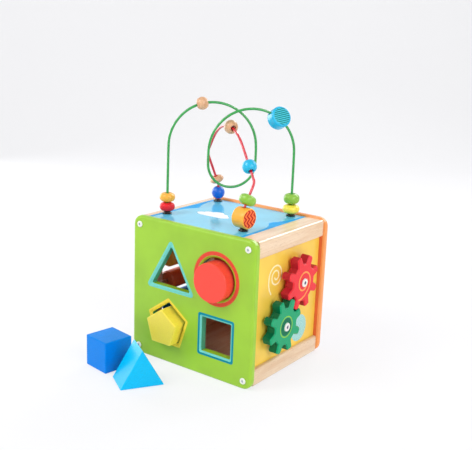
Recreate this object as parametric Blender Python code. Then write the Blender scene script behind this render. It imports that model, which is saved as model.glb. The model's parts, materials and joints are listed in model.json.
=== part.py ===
"""Wooden activity cube with a bead maze on top.

The origin is the middle of the cube's underside, +Z is up, +X points to the gear side
and -Y to the shape sorting side. All lengths are in metres.
"""
import math

import bmesh
import bpy
from mathutils import Matrix, Vector

# Cube
CUBE_WIDTH = 0.160
CUBE_DEPTH = 0.138
CUBE_HEIGHT = 0.156
FIT_GAP = 0.0003

# Front and back covers
COVER_THICKNESS = 0.008
COVER_CORNER = 0.010
COVER_EDGE = 0.0022

# Beams between the covers
BEAM_WIDTH = 0.026
BEAM_HEIGHT = 0.018
BEAM_INSET = 0.002
BEAM_EDGE = 0.0018

# Side panels, held in grooves of the beams
PANEL_THICKNESS = 0.005
PANEL_RECESS = 0.004
GROOVE_DEPTH = 0.005

# Top and base boards, laid in rebates of the beams
TOP_THICKNESS = 0.006
TOP_RIM_RIGHT = 0.022
TOP_RIM_LEFT = 0.009
BASE_THICKNESS = 0.006
BASE_RIM = 0.018

# Screws of the covers
SCREW_INSET = 0.0092
SCREW_RADIUS = 0.0015
SCREW_LENGTH = 0.028
SCREW_HEAD_RADIUS = 0.0034
SCREW_HEAD_HEIGHT = 0.0013

# Sorting holes of the front cover and the blocks that go through them
BLOCK_LENGTH = 0.034
BLOCK_EDGE = 0.0012
CYLINDER_PROUD = 0.0113
PENTAGON_PROUD = 0.0118
TRIANGLE_AT = (-0.0276, 0.1000)
TRIANGLE_HOLE_SIDE = 0.0528
TRIANGLE_PLAY = 0.0020
CIRCLE_AT = (0.0328, 0.1083)
CIRCLE_HOLE_RADIUS = 0.0224
CIRCLE_PLAY = 0.0018
PENTAGON_AT = (-0.0296, 0.0444)
PENTAGON_HOLE_RADIUS = 0.0240
PENTAGON_PLAY = 0.0028
SQUARE_AT = (0.0342, 0.0455)
SQUARE_HOLE_SIDE = 0.0376
SQUARE_PLAY = 0.0018
HOLE_CORNER = 0.0015
RIM_WIDTH = 0.0018
RIM_DEPTH = 0.0010
LOOSE_CUBE_AT = (-0.0717, -0.1147)
LOOSE_CUBE_TURN = -8.9
LOOSE_PRISM_AT = (-0.0218, -0.1232)
LOOSE_PRISM_TURN = -31.7

# Gears on the right side
GEAR_TEETH = 8
GEAR_TIP_RADIUS = 0.0293
GEAR_ROOT_RADIUS = 0.0204
GEAR_FLANK = ((0.00, 14.6), (0.18, 12.0), (0.50, 10.3), (0.87, 8.0), (0.96, 6.5), (1.00, 4.4))
GEAR_THICKNESS = 0.0110
GEAR_HUB_HEIGHT = 0.0025
GEAR_HUB_RADIUS = 0.009
GEAR_EDGE = 0.0012
GEAR_MESH_PLAY = 0.0007
GEAR_LINE_ANGLE = 53.5
GREEN_GEAR_TURN = 19.75
GREEN_GEAR_AT = (-0.0194, 0.0572)
GEAR_SCREW_RADIUS = 0.002
GEAR_SCREW_TAIL = 0.003
GEAR_CAP_RADIUS = 0.0046
GEAR_CAP_HEIGHT = 0.0016

# Rollers in the window of the left side; its margins run from the covers and the beams
WINDOW_FRONT_MARGIN = 0.027
WINDOW_BACK_MARGIN = 0.011
WINDOW_BASE_MARGIN = 0.014
WINDOW_TOP_MARGIN = 0.018
WINDOW_CORNER = 0.005
ROLLER_COUNT = 3
ROLLER_RADIUS = 0.0105
ROLLER_PITCH = 0.0265
ROLLER_PROUD = 0.0008
ROLLER_END_PLAY = 0.0015
ROLLER_SPLIT = 0.64
AXLE_RADIUS = 0.002
AXLE_SEAT = 0.004

# Slots, knobs and wheel of the back cover
SLOT_HALF_WIDTH = 0.0035
SHANK_RADIUS = 0.0029
KNOB_THICKNESS = 0.010
KNOB_EDGE = 0.0018
KNOB_GAP = 0.0006
WASHER_RADIUS = 0.0065
WASHER_THICKNESS = 0.0025
SLOT_RUNS = (
    ((0.000, 0.076), (0.000, 0.128)),
    ((0.000, 0.089), (0.050, 0.089)),
    ((0.000, 0.092), (-0.056, 0.092)),
    ((-0.056, 0.092), (-0.042, 0.114)),
    ((-0.002, 0.056), (-0.052, 0.056)),
    ((-0.002, 0.056), (-0.008, 0.024)),
    ((-0.008, 0.024), (-0.030, 0.024)),
    ((0.049, 0.031), (0.030, 0.045)),
)
YELLOW_KNOB_AT = (-0.026, 0.092)
YELLOW_KNOB_SIZE = (0.036, 0.017)
GREEN_KNOB_AT = (-0.006, 0.056)
GREEN_KNOB_RADIUS = 0.0160
BLUE_KNOB_AT = (0.047, 0.0325)
BLUE_KNOB_RADIUS = 0.0185
WHEEL_AT = (0.030, 0.122)
WHEEL_RADIUS = 0.0205
WHEEL_THICKNESS = 0.008
WHEEL_DISH_RADIUS = 0.010
WHEEL_DISH_DEPTH = 0.002

# Wires of the bead maze; each foot stands this far in from the nearest sides of the cube
WIRE_RADIUS = 0.0014
WIRE_SIDES = 2
WELD_DISTANCE = 0.00005
FOOT_RADIUS = 0.0052
FOOT_HEIGHT = 0.0023
FOOT_A_INSET = (0.018, 0.033)
FOOT_B_INSET = (0.039, 0.017)
FOOT_C_INSET = (0.020, 0.017)
FOOT_D_INSET = (0.039, 0.032)
ARCH_ONE_RADIUS = 0.0472
ARCH_ONE_HEIGHT = 0.0745
ARCH_TWO_RADIUS = 0.0465
ARCH_TWO_HEIGHT = 0.0700
LOOP_HEIGHT = 0.0570
WIRE_SIDE_STEP = 0.0065
ARC_STEP = 10.0
RED_CORNERS = (
    ((0.000, 0.000, 0.0205), 0.008),
    ((0.002, -0.0145, 0.0580), 0.014),
    ((0.053, -0.0036, 0.1220), 0.055),
    ((0.129, 0.0110, 0.0490), 0.010),
)
RED_LAST_CORNER_HEIGHT = 0.024
RED_LAST_CORNER_RADIUS = 0.008

# Beads
BORE_PLAY = 0.0009
ARC_BORE_PLAY = 0.0011
DRUM_BORE_RADIUS = 0.0035
BEAD_SIDES = 18
BEAD_STEPS = 8
BALL_FULLNESS = 2.0
BEAD_FULLNESS = 2.6
SMALL_BEAD = (0.0085, 0.0050)
ORANGE_BEAD = (0.0087, 0.0052)
WIDE_BEAD = (0.0096, 0.0052)
GREEN_BEAD = (0.0090, 0.0060)
BLUE_BALL = (0.0078, 0.0078)
WOOD_DISC = (0.0083, 0.0046)
OVAL_BEAD = (0.0092, 0.0058)
CYAN_BEAD = (0.0078, 0.0066)
ARCH_BALL = (0.0071, 0.0071)
RED_WIRE_BALL = (0.0078, 0.0078)
ORANGE_DRUM = (0.0109, 0.0155)
CYAN_DRUM = (0.0114, 0.0135)
DRUM_EDGE = 0.0020
ARCH_BALL_ANGLE = 104.8
CYAN_DRUM_ANGLE = 53.0
RED_BALL_ANGLE = 10.5
CYAN_BEAD_SHARE = 0.64
ORANGE_DRUM_TURN = -6.0
OVAL_BEAD_LIFT = 0.0010

ROUND_SIDES = 32
SMALL_SIDES = 12
SMOOTH_ANGLE = math.radians(40)

# Places worked out from the sizes above
HALF_WIDTH = CUBE_WIDTH / 2
HALF_DEPTH = CUBE_DEPTH / 2
INNER_FRONT = -HALF_DEPTH + COVER_THICKNESS
INNER_BACK = HALF_DEPTH - COVER_THICKNESS
BEAM_OUT = HALF_WIDTH - BEAM_INSET
BEAM_IN = BEAM_OUT - BEAM_WIDTH
BEAM_TOP = CUBE_HEIGHT - BEAM_INSET
TOP_BEAM_LOW = BEAM_TOP - BEAM_HEIGHT
BASE_BEAM_HIGH = BEAM_INSET + BEAM_HEIGHT
PANEL_OUT = BEAM_OUT - PANEL_RECESS
PANEL_IN = PANEL_OUT - PANEL_THICKNESS
DECK = BEAM_TOP
BEAM_START = INNER_FRONT + FIT_GAP
BEAM_END = INNER_BACK - FIT_GAP
GEAR_BACK = PANEL_OUT + FIT_GAP
GEAR_FACE = GEAR_BACK + GEAR_HUB_HEIGHT + GEAR_THICKNESS
ROLLER_AXIS_X = -PANEL_OUT - ROLLER_PROUD + ROLLER_RADIUS
WINDOW_LOW = (INNER_FRONT + WINDOW_FRONT_MARGIN, BASE_BEAM_HIGH + WINDOW_BASE_MARGIN)
WINDOW_HIGH = (INNER_BACK - WINDOW_BACK_MARGIN, TOP_BEAM_LOW - WINDOW_TOP_MARGIN)
WINDOW_MIDDLE = (WINDOW_LOW[1] + WINDOW_HIGH[1]) / 2
FOOT_A = (-HALF_WIDTH + FOOT_A_INSET[0], -HALF_DEPTH + FOOT_A_INSET[1])
FOOT_B = (HALF_WIDTH - FOOT_B_INSET[0], HALF_DEPTH - FOOT_B_INSET[1])
FOOT_C = (-HALF_WIDTH + FOOT_C_INSET[0], HALF_DEPTH - FOOT_C_INSET[1])
FOOT_D = (HALF_WIDTH - FOOT_D_INSET[0], -HALF_DEPTH + FOOT_D_INSET[1])
BEAD_FLOOR = DECK + FIT_GAP + FOOT_HEIGHT + FIT_GAP

COLOURS = {
    "lime lacquer": ("9FCB46", 0.35),
    "orange lacquer": ("F59A4E", 0.35),
    "bare wood": ("F0D5B5", 0.55),
    "yellow lacquer": ("F5C845", 0.40),
    "teal lacquer": ("3E9C92", 0.40),
    "sky blue lacquer": ("8FD6F6", 0.25),
    "white plastic": ("F4F4F0", 0.35),
    "red paint": ("E8434B", 0.40),
    "coral paint": ("FF5A4E", 0.40),
    "green paint": ("1FA067", 0.40),
    "leaf paint": ("7DB93C", 0.40),
    "orange paint": ("FFA53C", 0.35),
    "lemon paint": ("F5E14E", 0.40),
    "blue paint": ("1E8CEB", 0.35),
    "deep blue paint": ("1450C8", 0.30),
    "cyan paint": ("1EB4DC", 0.35),
    "purple paint": ("9A4FA0", 0.40),
    "steel": ("B8B8B8", 0.30),
    "black plastic": ("1C1C1E", 0.45),
    "green wire": ("3FA04A", 0.30),
    "red wire": ("C81E3C", 0.30),
}


def clear_scene():
    """Take every object out of the scene."""
    for item in list(bpy.data.objects):
        bpy.data.objects.remove(item, do_unlink=True)


def linear(channel):
    """One sRGB channel from 0 to 1 as linear light."""
    if channel <= 0.04045:
        return channel / 12.92
    return ((channel + 0.055) / 1.055) ** 2.4


def material(name):
    """The named finish, made once."""
    found = bpy.data.materials.get(name)
    if found:
        return found
    colour, roughness = COLOURS[name]
    made = bpy.data.materials.new(name)
    made.use_nodes = True
    shader = made.node_tree.nodes["Principled BSDF"]
    rgb = [linear(int(colour[i:i + 2], 16) / 255) for i in (0, 2, 4)]
    shader.inputs["Base Color"].default_value = (*rgb, 1)
    shader.inputs["Roughness"].default_value = roughness
    shader.inputs["Metallic"].default_value = 1.0 if name == "steel" else 0.0
    made.diffuse_color = (*rgb, 1)
    return made


def link(name, data, finish=None):
    """A new object with the given mesh or curve, linked to the scene."""
    item = bpy.data.objects.new(name, data)
    bpy.context.scene.collection.objects.link(item)
    if finish:
        data.materials.append(material(finish))
    return item


def mesh_object(name, shape, finish=None, smooth=False):
    """Turn a bmesh with outward faces into an object."""
    bmesh.ops.recalc_face_normals(shape, faces=shape.faces)
    data = bpy.data.meshes.new(name)
    shape.to_mesh(data)
    shape.free()
    if smooth:
        data.shade_smooth()
        data.set_sharp_from_angle(angle=SMOOTH_ANGLE)
    return link(name, data, finish)


def placed(a, b, along, axis):
    """A point of an outline (a, b) at a distance along the named axis."""
    if axis == "X":
        return Vector((along, a, b))
    if axis == "Y":
        return Vector((a, along, b))
    return Vector((a, b, along))


def loft(sections, axis):
    """A solid through outlines that have as many points each; a section is (distance, outline).

    The faces of its two ends are made first.
    """
    shape = bmesh.new()
    rings = [[shape.verts.new(placed(a, b, along, axis)) for a, b in outline] for along, outline in sections]
    shape.faces.new(rings[0])
    shape.faces.new(rings[-1])
    count = len(rings[0])
    for near, far in zip(rings, rings[1:]):
        for i in range(count):
            j = (i + 1) % count
            shape.faces.new((near[i], near[j], far[j], far[i]))
    bmesh.ops.recalc_face_normals(shape, faces=shape.faces)
    return shape


def prism(outline, low, high, axis, bevel=0.0, bevel_steps=2):
    """A solid with a flat outline, between two distances along an axis."""
    shape = loft([(low, outline), (high, outline)], axis)
    if bevel:
        shape.faces.ensure_lookup_table()
        edges = [edge for face in shape.faces[:2] for edge in face.edges]
        bmesh.ops.bevel(shape, geom=edges, offset=bevel, segments=bevel_steps,
                        profile=0.5, affect="EDGES", clamp_overlap=True)
    return shape


def all_edges_eased(shape, width, steps=2):
    """Bevel every edge that turns by more than 30 degrees."""
    edges = [edge for edge in shape.edges if edge.calc_face_angle(0) > math.radians(30)]
    bmesh.ops.bevel(shape, geom=edges, offset=width, segments=steps, profile=0.5,
                    affect="EDGES", clamp_overlap=True)
    return shape


def turned(profile, sides, closed=True):
    """Turn a profile of (radius, height) points round the Z axis."""
    shape = bmesh.new()
    verts = [shape.verts.new((radius, 0, height)) for radius, height in profile]
    pairs = list(zip(verts, verts[1:]))
    if closed:
        pairs.append((verts[-1], verts[0]))
    edges = [shape.edges.new(pair) for pair in pairs]
    bmesh.ops.spin(shape, geom=verts + edges, cent=(0, 0, 0), axis=(0, 0, 1),
                   angle=math.tau, steps=sides, use_merge=True)
    bmesh.ops.remove_doubles(shape, verts=shape.verts, dist=1e-7)
    bmesh.ops.recalc_face_normals(shape, faces=shape.faces)
    return shape


def box_outline(low, high):
    """The four corners of an upright rectangle."""
    return [(low[0], low[1]), (high[0], low[1]), (high[0], high[1]), (low[0], high[1])]


def arc_points(centre, radius, start, end, steps):
    """Points on an arc, with angles in degrees."""
    points = []
    for i in range(steps + 1):
        angle = math.radians(start + (end - start) * i / steps)
        points.append((centre[0] + radius * math.cos(angle), centre[1] + radius * math.sin(angle)))
    return points


def rounded_outline(corners, radius, steps=4):
    """Round each corner of a convex outline that runs anticlockwise."""
    count = len(corners)
    points = []
    for i in range(count):
        before, here, after = corners[i - 1], corners[i], corners[(i + 1) % count]
        to_before = (Vector(before) - Vector(here)).normalized()
        to_after = (Vector(after) - Vector(here)).normalized()
        half = to_before.angle(to_after) / 2
        centre = Vector(here) + (to_before + to_after).normalized() * radius / math.sin(half)
        first = Vector(here) + to_before * radius / math.tan(half)
        start = math.degrees(math.atan2(first.y - centre.y, first.x - centre.x))
        points += arc_points(centre, radius, start, start + 180 - math.degrees(2 * half), steps)
    return points


def polygon(centre, radius, count, first=90.0):
    """Corners of a regular polygon, anticlockwise from the first angle."""
    return arc_points(centre, radius, first, first + 360.0, count)[:-1]


def capsule(start, end, half_width, steps=6):
    """The outline of a slot with round ends."""
    angle = math.degrees(math.atan2(end[1] - start[1], end[0] - start[0]))
    return (arc_points(end, half_width, angle - 90, angle + 90, steps)
            + arc_points(start, half_width, angle + 90, angle + 270, steps))


def cutter(name, shape):
    """A hidden shape that is cut out of others."""
    item = mesh_object(name, shape)
    item.hide_render = True
    item.display_type = "WIRE"
    return item


def cut(target, tool, operation="DIFFERENCE"):
    """Cut a shape out of an object, or join it on."""
    change = target.modifiers.new(tool.name, "BOOLEAN")
    change.operation = operation
    change.solver = "EXACT"
    change.object = tool


def rod_between(start, end, radius, sides=SMALL_SIDES):
    """A round bar between two points, as a bmesh."""
    return rods([(start, end)], radius, sides)


def rods(ends, radius, sides=SMALL_SIDES):
    """Round bars between pairs of points, in one bmesh."""
    shape = bmesh.new()
    for start, end in ends:
        along = Vector(end) - Vector(start)
        turn = along.to_track_quat("Z", "Y").to_matrix().to_4x4()
        middle = Matrix.Translation((Vector(start) + Vector(end)) / 2)
        bmesh.ops.create_cone(shape, cap_ends=True, segments=sides, radius1=radius, radius2=radius,
                              depth=along.length, matrix=middle @ turn)
    return shape


def stand(item, place, direction):
    """Put an object made along +Z at a place, with its +Z along the direction."""
    item.location = place
    item.rotation_mode = "QUATERNION"
    item.rotation_quaternion = Vector(direction).to_track_quat("Z", "Y")
    return item


def hang(item, name, centre):
    """Parent a piece to an empty at the centre of the bend that it runs along."""
    empty = link(name, None)
    empty.location = centre
    item.parent = empty
    item.location = item.location - Vector(centre)


def triangle_corners(centre, side):
    """An equilateral triangle standing on its base."""
    return polygon(centre, side / math.sqrt(3), 3)


def square_corners(centre, side):
    """A square with level sides."""
    half = side / 2
    return box_outline((centre[0] - half, centre[1] - half), (centre[0] + half, centre[1] + half))


def screw_places():
    """The four screws of a cover as (name, x, z)."""
    x = HALF_WIDTH - SCREW_INSET
    low, high = SCREW_INSET, CUBE_HEIGHT - SCREW_INSET
    return [("top_left", -x, high), ("top_right", x, high),
            ("bottom_left", -x, low), ("bottom_right", x, low)]


def headed_pin(name, place, direction, head, shank):
    """A screw with a round white head; head is (radius, height) and shank (radius, length).

    The place is the middle of the head's underside and the direction is the way the head looks.
    """
    radius, height = head
    edge = height * 0.45
    profile = [(0, height), (radius - edge, height), (radius, height - edge), (radius, 0),
               (shank[0], 0), (shank[0], -shank[1]), (0, -shank[1])]
    item = mesh_object(name, turned(profile, SMALL_SIDES, closed=False), "white plastic", smooth=True)
    return stand(item, place, direction)


def screw_bores(side_name, outer_face, inward):
    """The hidden bars that make the four screw holes of one cover and of the beams behind it."""
    start = outer_face - inward * SCREW_HEAD_HEIGHT
    end = outer_face + inward * (SCREW_LENGTH + 2 * FIT_GAP)
    bars = [((x, start, z), (x, end, z)) for _, x, z in screw_places()]
    return cutter(f"{side_name}_screw_bores", rods(bars, SCREW_RADIUS + FIT_GAP))


def cover_blank(name, outer_face, inward, finish):
    """A cover board with round corners and eased edges."""
    corners = box_outline((-HALF_WIDTH, 0), (HALF_WIDTH, CUBE_HEIGHT))
    outline = rounded_outline(corners, COVER_CORNER, 5)
    low, high = sorted((outer_face, outer_face + inward * COVER_THICKNESS))
    return mesh_object(name, prism(outline, low, high, "Y", COVER_EDGE), finish, smooth=True)


def sorting_outlines(grow=0.0):
    """The four hole outlines of the front cover, with each side moved outwards by a distance."""
    triangle = triangle_corners(TRIANGLE_AT, TRIANGLE_HOLE_SIDE + 2 * math.sqrt(3) * grow)
    pentagon = polygon(PENTAGON_AT, PENTAGON_HOLE_RADIUS + grow / math.cos(math.pi / 5), 5)
    square = square_corners(SQUARE_AT, SQUARE_HOLE_SIDE + 2 * grow)
    return {
        "triangle": rounded_outline(triangle, HOLE_CORNER, 3),
        "circle": arc_points(CIRCLE_AT, CIRCLE_HOLE_RADIUS + grow, 0, 360, ROUND_SIDES)[:-1],
        "pentagon": rounded_outline(pentagon, HOLE_CORNER, 3),
        "square": rounded_outline(square, HOLE_CORNER, 3),
    }


def front_cover(bores):
    """The sorting side: a board with four shaped holes, each with a slanting rim."""
    cover = cover_blank("front_cover", -HALF_DEPTH, 1, "lime lacquer")
    wide, narrow = sorting_outlines(2 * RIM_WIDTH), sorting_outlines()
    for name in narrow:
        shape = loft([(-HALF_DEPTH - RIM_DEPTH, wide[name]), (-HALF_DEPTH + RIM_DEPTH, narrow[name]),
                      (INNER_FRONT + COVER_THICKNESS, narrow[name])], "Y")
        cut(cover, cutter(f"hole_{name}", shape))
    cut(cover, bores)
    cut(cover, axle_seats("front", INNER_FRONT))
    return cover


def back_cover(bores):
    """The slide maze: a board with branching slots."""
    cover = cover_blank("back_cover", HALF_DEPTH, -1, "orange lacquer")
    for number, (start, end) in enumerate(SLOT_RUNS):
        shape = prism(capsule(start, end, SLOT_HALF_WIDTH), INNER_BACK - COVER_THICKNESS,
                      HALF_DEPTH + COVER_THICKNESS, "Y")
        cut(cover, cutter(f"slot_{number}", shape))
    cut(cover, bores)
    cut(cover, axle_seats("back", INNER_BACK))
    wheel_bar = rod_between((WHEEL_AT[0], INNER_BACK - COVER_THICKNESS, WHEEL_AT[1]),
                            (WHEEL_AT[0], HALF_DEPTH + COVER_THICKNESS, WHEEL_AT[1]),
                            GEAR_SCREW_RADIUS + FIT_GAP)
    cut(cover, cutter("wheel_screw_bore", wheel_bar))
    return cover


def beam(name, side, top, bores):
    """One of the four beams, with the groove and rebate that hold the boards."""
    low = TOP_BEAM_LOW if top else BEAM_INSET
    high = low + BEAM_HEIGHT
    inner, outer = sorted((side * BEAM_IN, side * BEAM_OUT))
    shape = prism(box_outline((inner, low), (outer, high)), BEAM_START, BEAM_END, "Y")
    outer_edges = []
    for edge in shape.edges:
        first, last = edge.verts[0].co, edge.verts[1].co
        on_outside = min(abs(first.x), abs(last.x)) > BEAM_OUT - FIT_GAP
        if on_outside and abs(first.y - last.y) > BEAM_HEIGHT:
            outer_edges.append(edge)
    bmesh.ops.bevel(shape, geom=outer_edges, offset=BEAM_EDGE, segments=2, profile=0.5, affect="EDGES")
    item = mesh_object(name, shape, "bare wood")
    reach = (INNER_FRONT - COVER_THICKNESS, INNER_BACK + COVER_THICKNESS)

    groove_end = low + GROOVE_DEPTH if top else high - GROOVE_DEPTH
    groove_mouth = low - FIT_GAP if top else high + FIT_GAP
    wall = sorted((side * (PANEL_IN - FIT_GAP), side * (PANEL_OUT + FIT_GAP)))
    depths = sorted((groove_end, groove_mouth))
    groove = box_outline((wall[0], depths[0]), (wall[1], depths[1]))
    cut(item, cutter(name + "_groove", prism(groove, *reach, "Y")))

    if top:
        rim = TOP_RIM_RIGHT if side > 0 else TOP_RIM_LEFT
        ledge = (BEAM_TOP - TOP_THICKNESS - FIT_GAP, CUBE_HEIGHT)
    else:
        rim = BASE_RIM
        ledge = (-BASE_THICKNESS, BASE_THICKNESS + FIT_GAP)
    sides = sorted((side * (BEAM_IN - FIT_GAP), side * (BEAM_OUT - rim)))
    rebate = box_outline((sides[0], ledge[0]), (sides[1], ledge[1]))
    cut(item, cutter(name + "_rebate", prism(rebate, *reach, "Y")))
    for tool in bores:
        cut(item, tool)
    return item


def side_panel_outline():
    """A side panel's outline, reaching into the grooves above and below."""
    reach = GROOVE_DEPTH - FIT_GAP
    return box_outline((BEAM_START, BASE_BEAM_HIGH - reach), (BEAM_END, TOP_BEAM_LOW + reach))


def red_gear_place():
    """The red gear's centre, one mesh distance from the green one."""
    distance = GEAR_TIP_RADIUS + GEAR_ROOT_RADIUS + GEAR_MESH_PLAY
    angle = math.radians(GEAR_LINE_ANGLE)
    return (GREEN_GEAR_AT[0] + distance * math.cos(angle), GREEN_GEAR_AT[1] + distance * math.sin(angle))


def right_panel():
    """The yellow panel that carries the gears."""
    shape = prism(side_panel_outline(), PANEL_IN, PANEL_OUT, "X")
    panel = mesh_object("right_panel", shape, "yellow lacquer")
    for name, place in (("green", GREEN_GEAR_AT), ("red", red_gear_place())):
        bar = rod_between((PANEL_IN - PANEL_THICKNESS, *place), (PANEL_OUT + PANEL_THICKNESS, *place),
                          GEAR_SCREW_RADIUS + FIT_GAP)
        cut(panel, cutter(f"bore_{name}_gear_screw", bar))
    return panel


def left_panel():
    """The teal panel with the rollers' window."""
    shape = prism(side_panel_outline(), -PANEL_OUT, -PANEL_IN, "X")
    panel = mesh_object("left_panel", shape, "teal lacquer")
    window = rounded_outline(box_outline(WINDOW_LOW, WINDOW_HIGH), WINDOW_CORNER, 3)
    shape = prism(window, -PANEL_OUT - PANEL_THICKNESS, -PANEL_IN + PANEL_THICKNESS, "X")
    cut(panel, cutter("roller_window", shape))
    return panel


def top_board():
    """The blue board that carries the wires."""
    outline = box_outline((-BEAM_OUT + TOP_RIM_LEFT + FIT_GAP, BEAM_START),
                          (BEAM_OUT - TOP_RIM_RIGHT - FIT_GAP, BEAM_END))
    shape = prism(outline, BEAM_TOP - TOP_THICKNESS, BEAM_TOP, "Z")
    board = mesh_object("top_board", shape, "sky blue lacquer")
    for name, place in (("a", FOOT_A), ("b", FOOT_B), ("c", FOOT_C), ("d", FOOT_D)):
        bar = rod_between((*place, BEAM_TOP - 2 * TOP_THICKNESS), (*place, BEAM_TOP + TOP_THICKNESS),
                          WIRE_RADIUS + FIT_GAP, 10)
        cut(board, cutter("wire_hole_" + name, bar))
    return board


def base_board():
    """The plain board that closes the underside."""
    half = BEAM_OUT - BASE_RIM - FIT_GAP
    outline = box_outline((-half, BEAM_START), (half, BEAM_END))
    return mesh_object("base_board", prism(outline, 0, BASE_THICKNESS, "Z"), "bare wood")


def tooth_outline():
    """One tooth about angle 0 as (radius, angle), up one flank and down the other."""
    height = GEAR_TIP_RADIUS - GEAR_ROOT_RADIUS
    half = [(GEAR_ROOT_RADIUS + share * height, angle) for share, angle in GEAR_FLANK]
    return [(radius, -angle) for radius, angle in half] + list(reversed(half))


def gear_outline(turn):
    """The whole outline of a gear about its centre; turn is the angle of its first tooth in degrees."""
    pitch = 360.0 / GEAR_TEETH
    tooth = tooth_outline()
    points = []
    for number in range(GEAR_TEETH):
        for radius, angle in tooth:
            at = math.radians(turn + number * pitch + angle)
            points.append((radius * math.cos(at), radius * math.sin(at)))
    return points


def gear(name, centre, turn, finish):
    """A toothed wheel with a low hub behind it, bored for its screw."""
    top = GEAR_HUB_HEIGHT + GEAR_THICKNESS
    shape = prism(gear_outline(turn), GEAR_HUB_HEIGHT, top, "X", GEAR_EDGE, 1)
    wheel = mesh_object(name, shape, finish)
    wheel.location = (GEAR_BACK, *centre)
    hub = rod_between((GEAR_BACK, *centre), (GEAR_BACK + top / 2, *centre), GEAR_HUB_RADIUS, 20)
    cut(wheel, cutter(name + "_hub", hub), "UNION")
    bar = rod_between((PANEL_IN, *centre), (GEAR_FACE + GEAR_THICKNESS, *centre),
                      GEAR_SCREW_RADIUS + FIT_GAP)
    cut(wheel, cutter(name + "_bore", bar))
    return wheel


def gear_screw(name, centre):
    """The screw that a gear turns on."""
    length = GEAR_FACE - PANEL_IN + GEAR_SCREW_TAIL + FIT_GAP
    headed_pin(name, (GEAR_FACE + FIT_GAP, *centre), (1, 0, 0),
               (GEAR_CAP_RADIUS, GEAR_CAP_HEIGHT), (GEAR_SCREW_RADIUS, length))


def build_gears():
    """Both gears in mesh: as far as one is turned past the line between them, the other is turned back."""
    half_pitch = 180.0 / GEAR_TEETH
    red_turn = 2 * GEAR_LINE_ANGLE + 180.0 + half_pitch - GREEN_GEAR_TURN
    gear("green_gear", GREEN_GEAR_AT, GREEN_GEAR_TURN, "green paint")
    gear("red_gear", red_gear_place(), red_turn, "red paint")
    gear_screw("green_gear_screw", GREEN_GEAR_AT)
    gear_screw("red_gear_screw", red_gear_place())


def roller_heights():
    """Axis heights of the rollers, from the top one down."""
    middle = (ROLLER_COUNT - 1) / 2
    return [WINDOW_MIDDLE + (middle - i) * ROLLER_PITCH for i in range(ROLLER_COUNT)]


def axle_seats(side_name, face):
    """The hidden bars that make the axles' blind holes in one cover, through its inner face."""
    reach = AXLE_SEAT + FIT_GAP
    bars = [((ROLLER_AXIS_X, face - reach, z), (ROLLER_AXIS_X, face + reach, z)) for z in roller_heights()]
    return cutter(f"{side_name}_axle_seats", rods(bars, AXLE_RADIUS + FIT_GAP))


def roller(name, start, end, z, finish):
    """A turned roller between two distances along Y, bored for its axle."""
    length = end - start
    bore = AXLE_RADIUS + FIT_GAP
    edge = ROLLER_RADIUS * 0.16
    profile = [(bore, 0), (ROLLER_RADIUS - edge, 0), (ROLLER_RADIUS, edge), (ROLLER_RADIUS, length - edge),
               (ROLLER_RADIUS - edge, length), (bore, length)]
    item = mesh_object(name, turned(profile, 24), finish, smooth=True)
    return stand(item, (ROLLER_AXIS_X, start, z), (0, 1, 0))


def build_rollers():
    """Three axles across the window; the middle one carries two rollers."""
    start, end = WINDOW_LOW[0] + ROLLER_END_PLAY, WINDOW_HIGH[0] - ROLLER_END_PLAY
    split = start + (end - start) * ROLLER_SPLIT
    top, middle, bottom = roller_heights()
    roller("orange_roller", start, end, top, "orange paint")
    roller("red_roller", start, split - ROLLER_END_PLAY, middle, "coral paint")
    roller("natural_roller", split, end, middle, "bare wood")
    roller("blue_roller", start, end, bottom, "blue paint")
    for name, z in (("top", top), ("middle", middle), ("bottom", bottom)):
        bar = rod_between((ROLLER_AXIS_X, INNER_FRONT - AXLE_SEAT, z),
                          (ROLLER_AXIS_X, INNER_BACK + AXLE_SEAT, z), AXLE_RADIUS)
        mesh_object(f"{name}_roller_axle", bar, "steel", smooth=True)


def knob(name, place, outline, finish):
    """A maze knob with its shank, which passes through a slot of the back cover."""
    item = mesh_object(name, prism(outline, 0, KNOB_THICKNESS, "Y", KNOB_EDGE, 2), finish)
    low = HALF_DEPTH + KNOB_GAP
    item.location = (place[0], low, place[1])
    inner_end = INNER_BACK - KNOB_GAP - WASHER_THICKNESS
    shank = rod_between((place[0], inner_end, place[1]), (place[0], low + KNOB_THICKNESS / 2, place[1]),
                        SHANK_RADIUS)
    cut(item, cutter(name + "_shank", shank), "UNION")
    return item


def washer(name, place):
    """The ring behind the back cover that keeps a knob in its slot."""
    bore = SHANK_RADIUS + FIT_GAP
    profile = [(bore, 0), (WASHER_RADIUS, 0), (WASHER_RADIUS, WASHER_THICKNESS), (bore, WASHER_THICKNESS)]
    item = mesh_object(name, turned(profile, 20), "white plastic", smooth=True)
    return stand(item, (place[0], INNER_BACK - KNOB_GAP, place[1]), (0, -1, 0))


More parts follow.
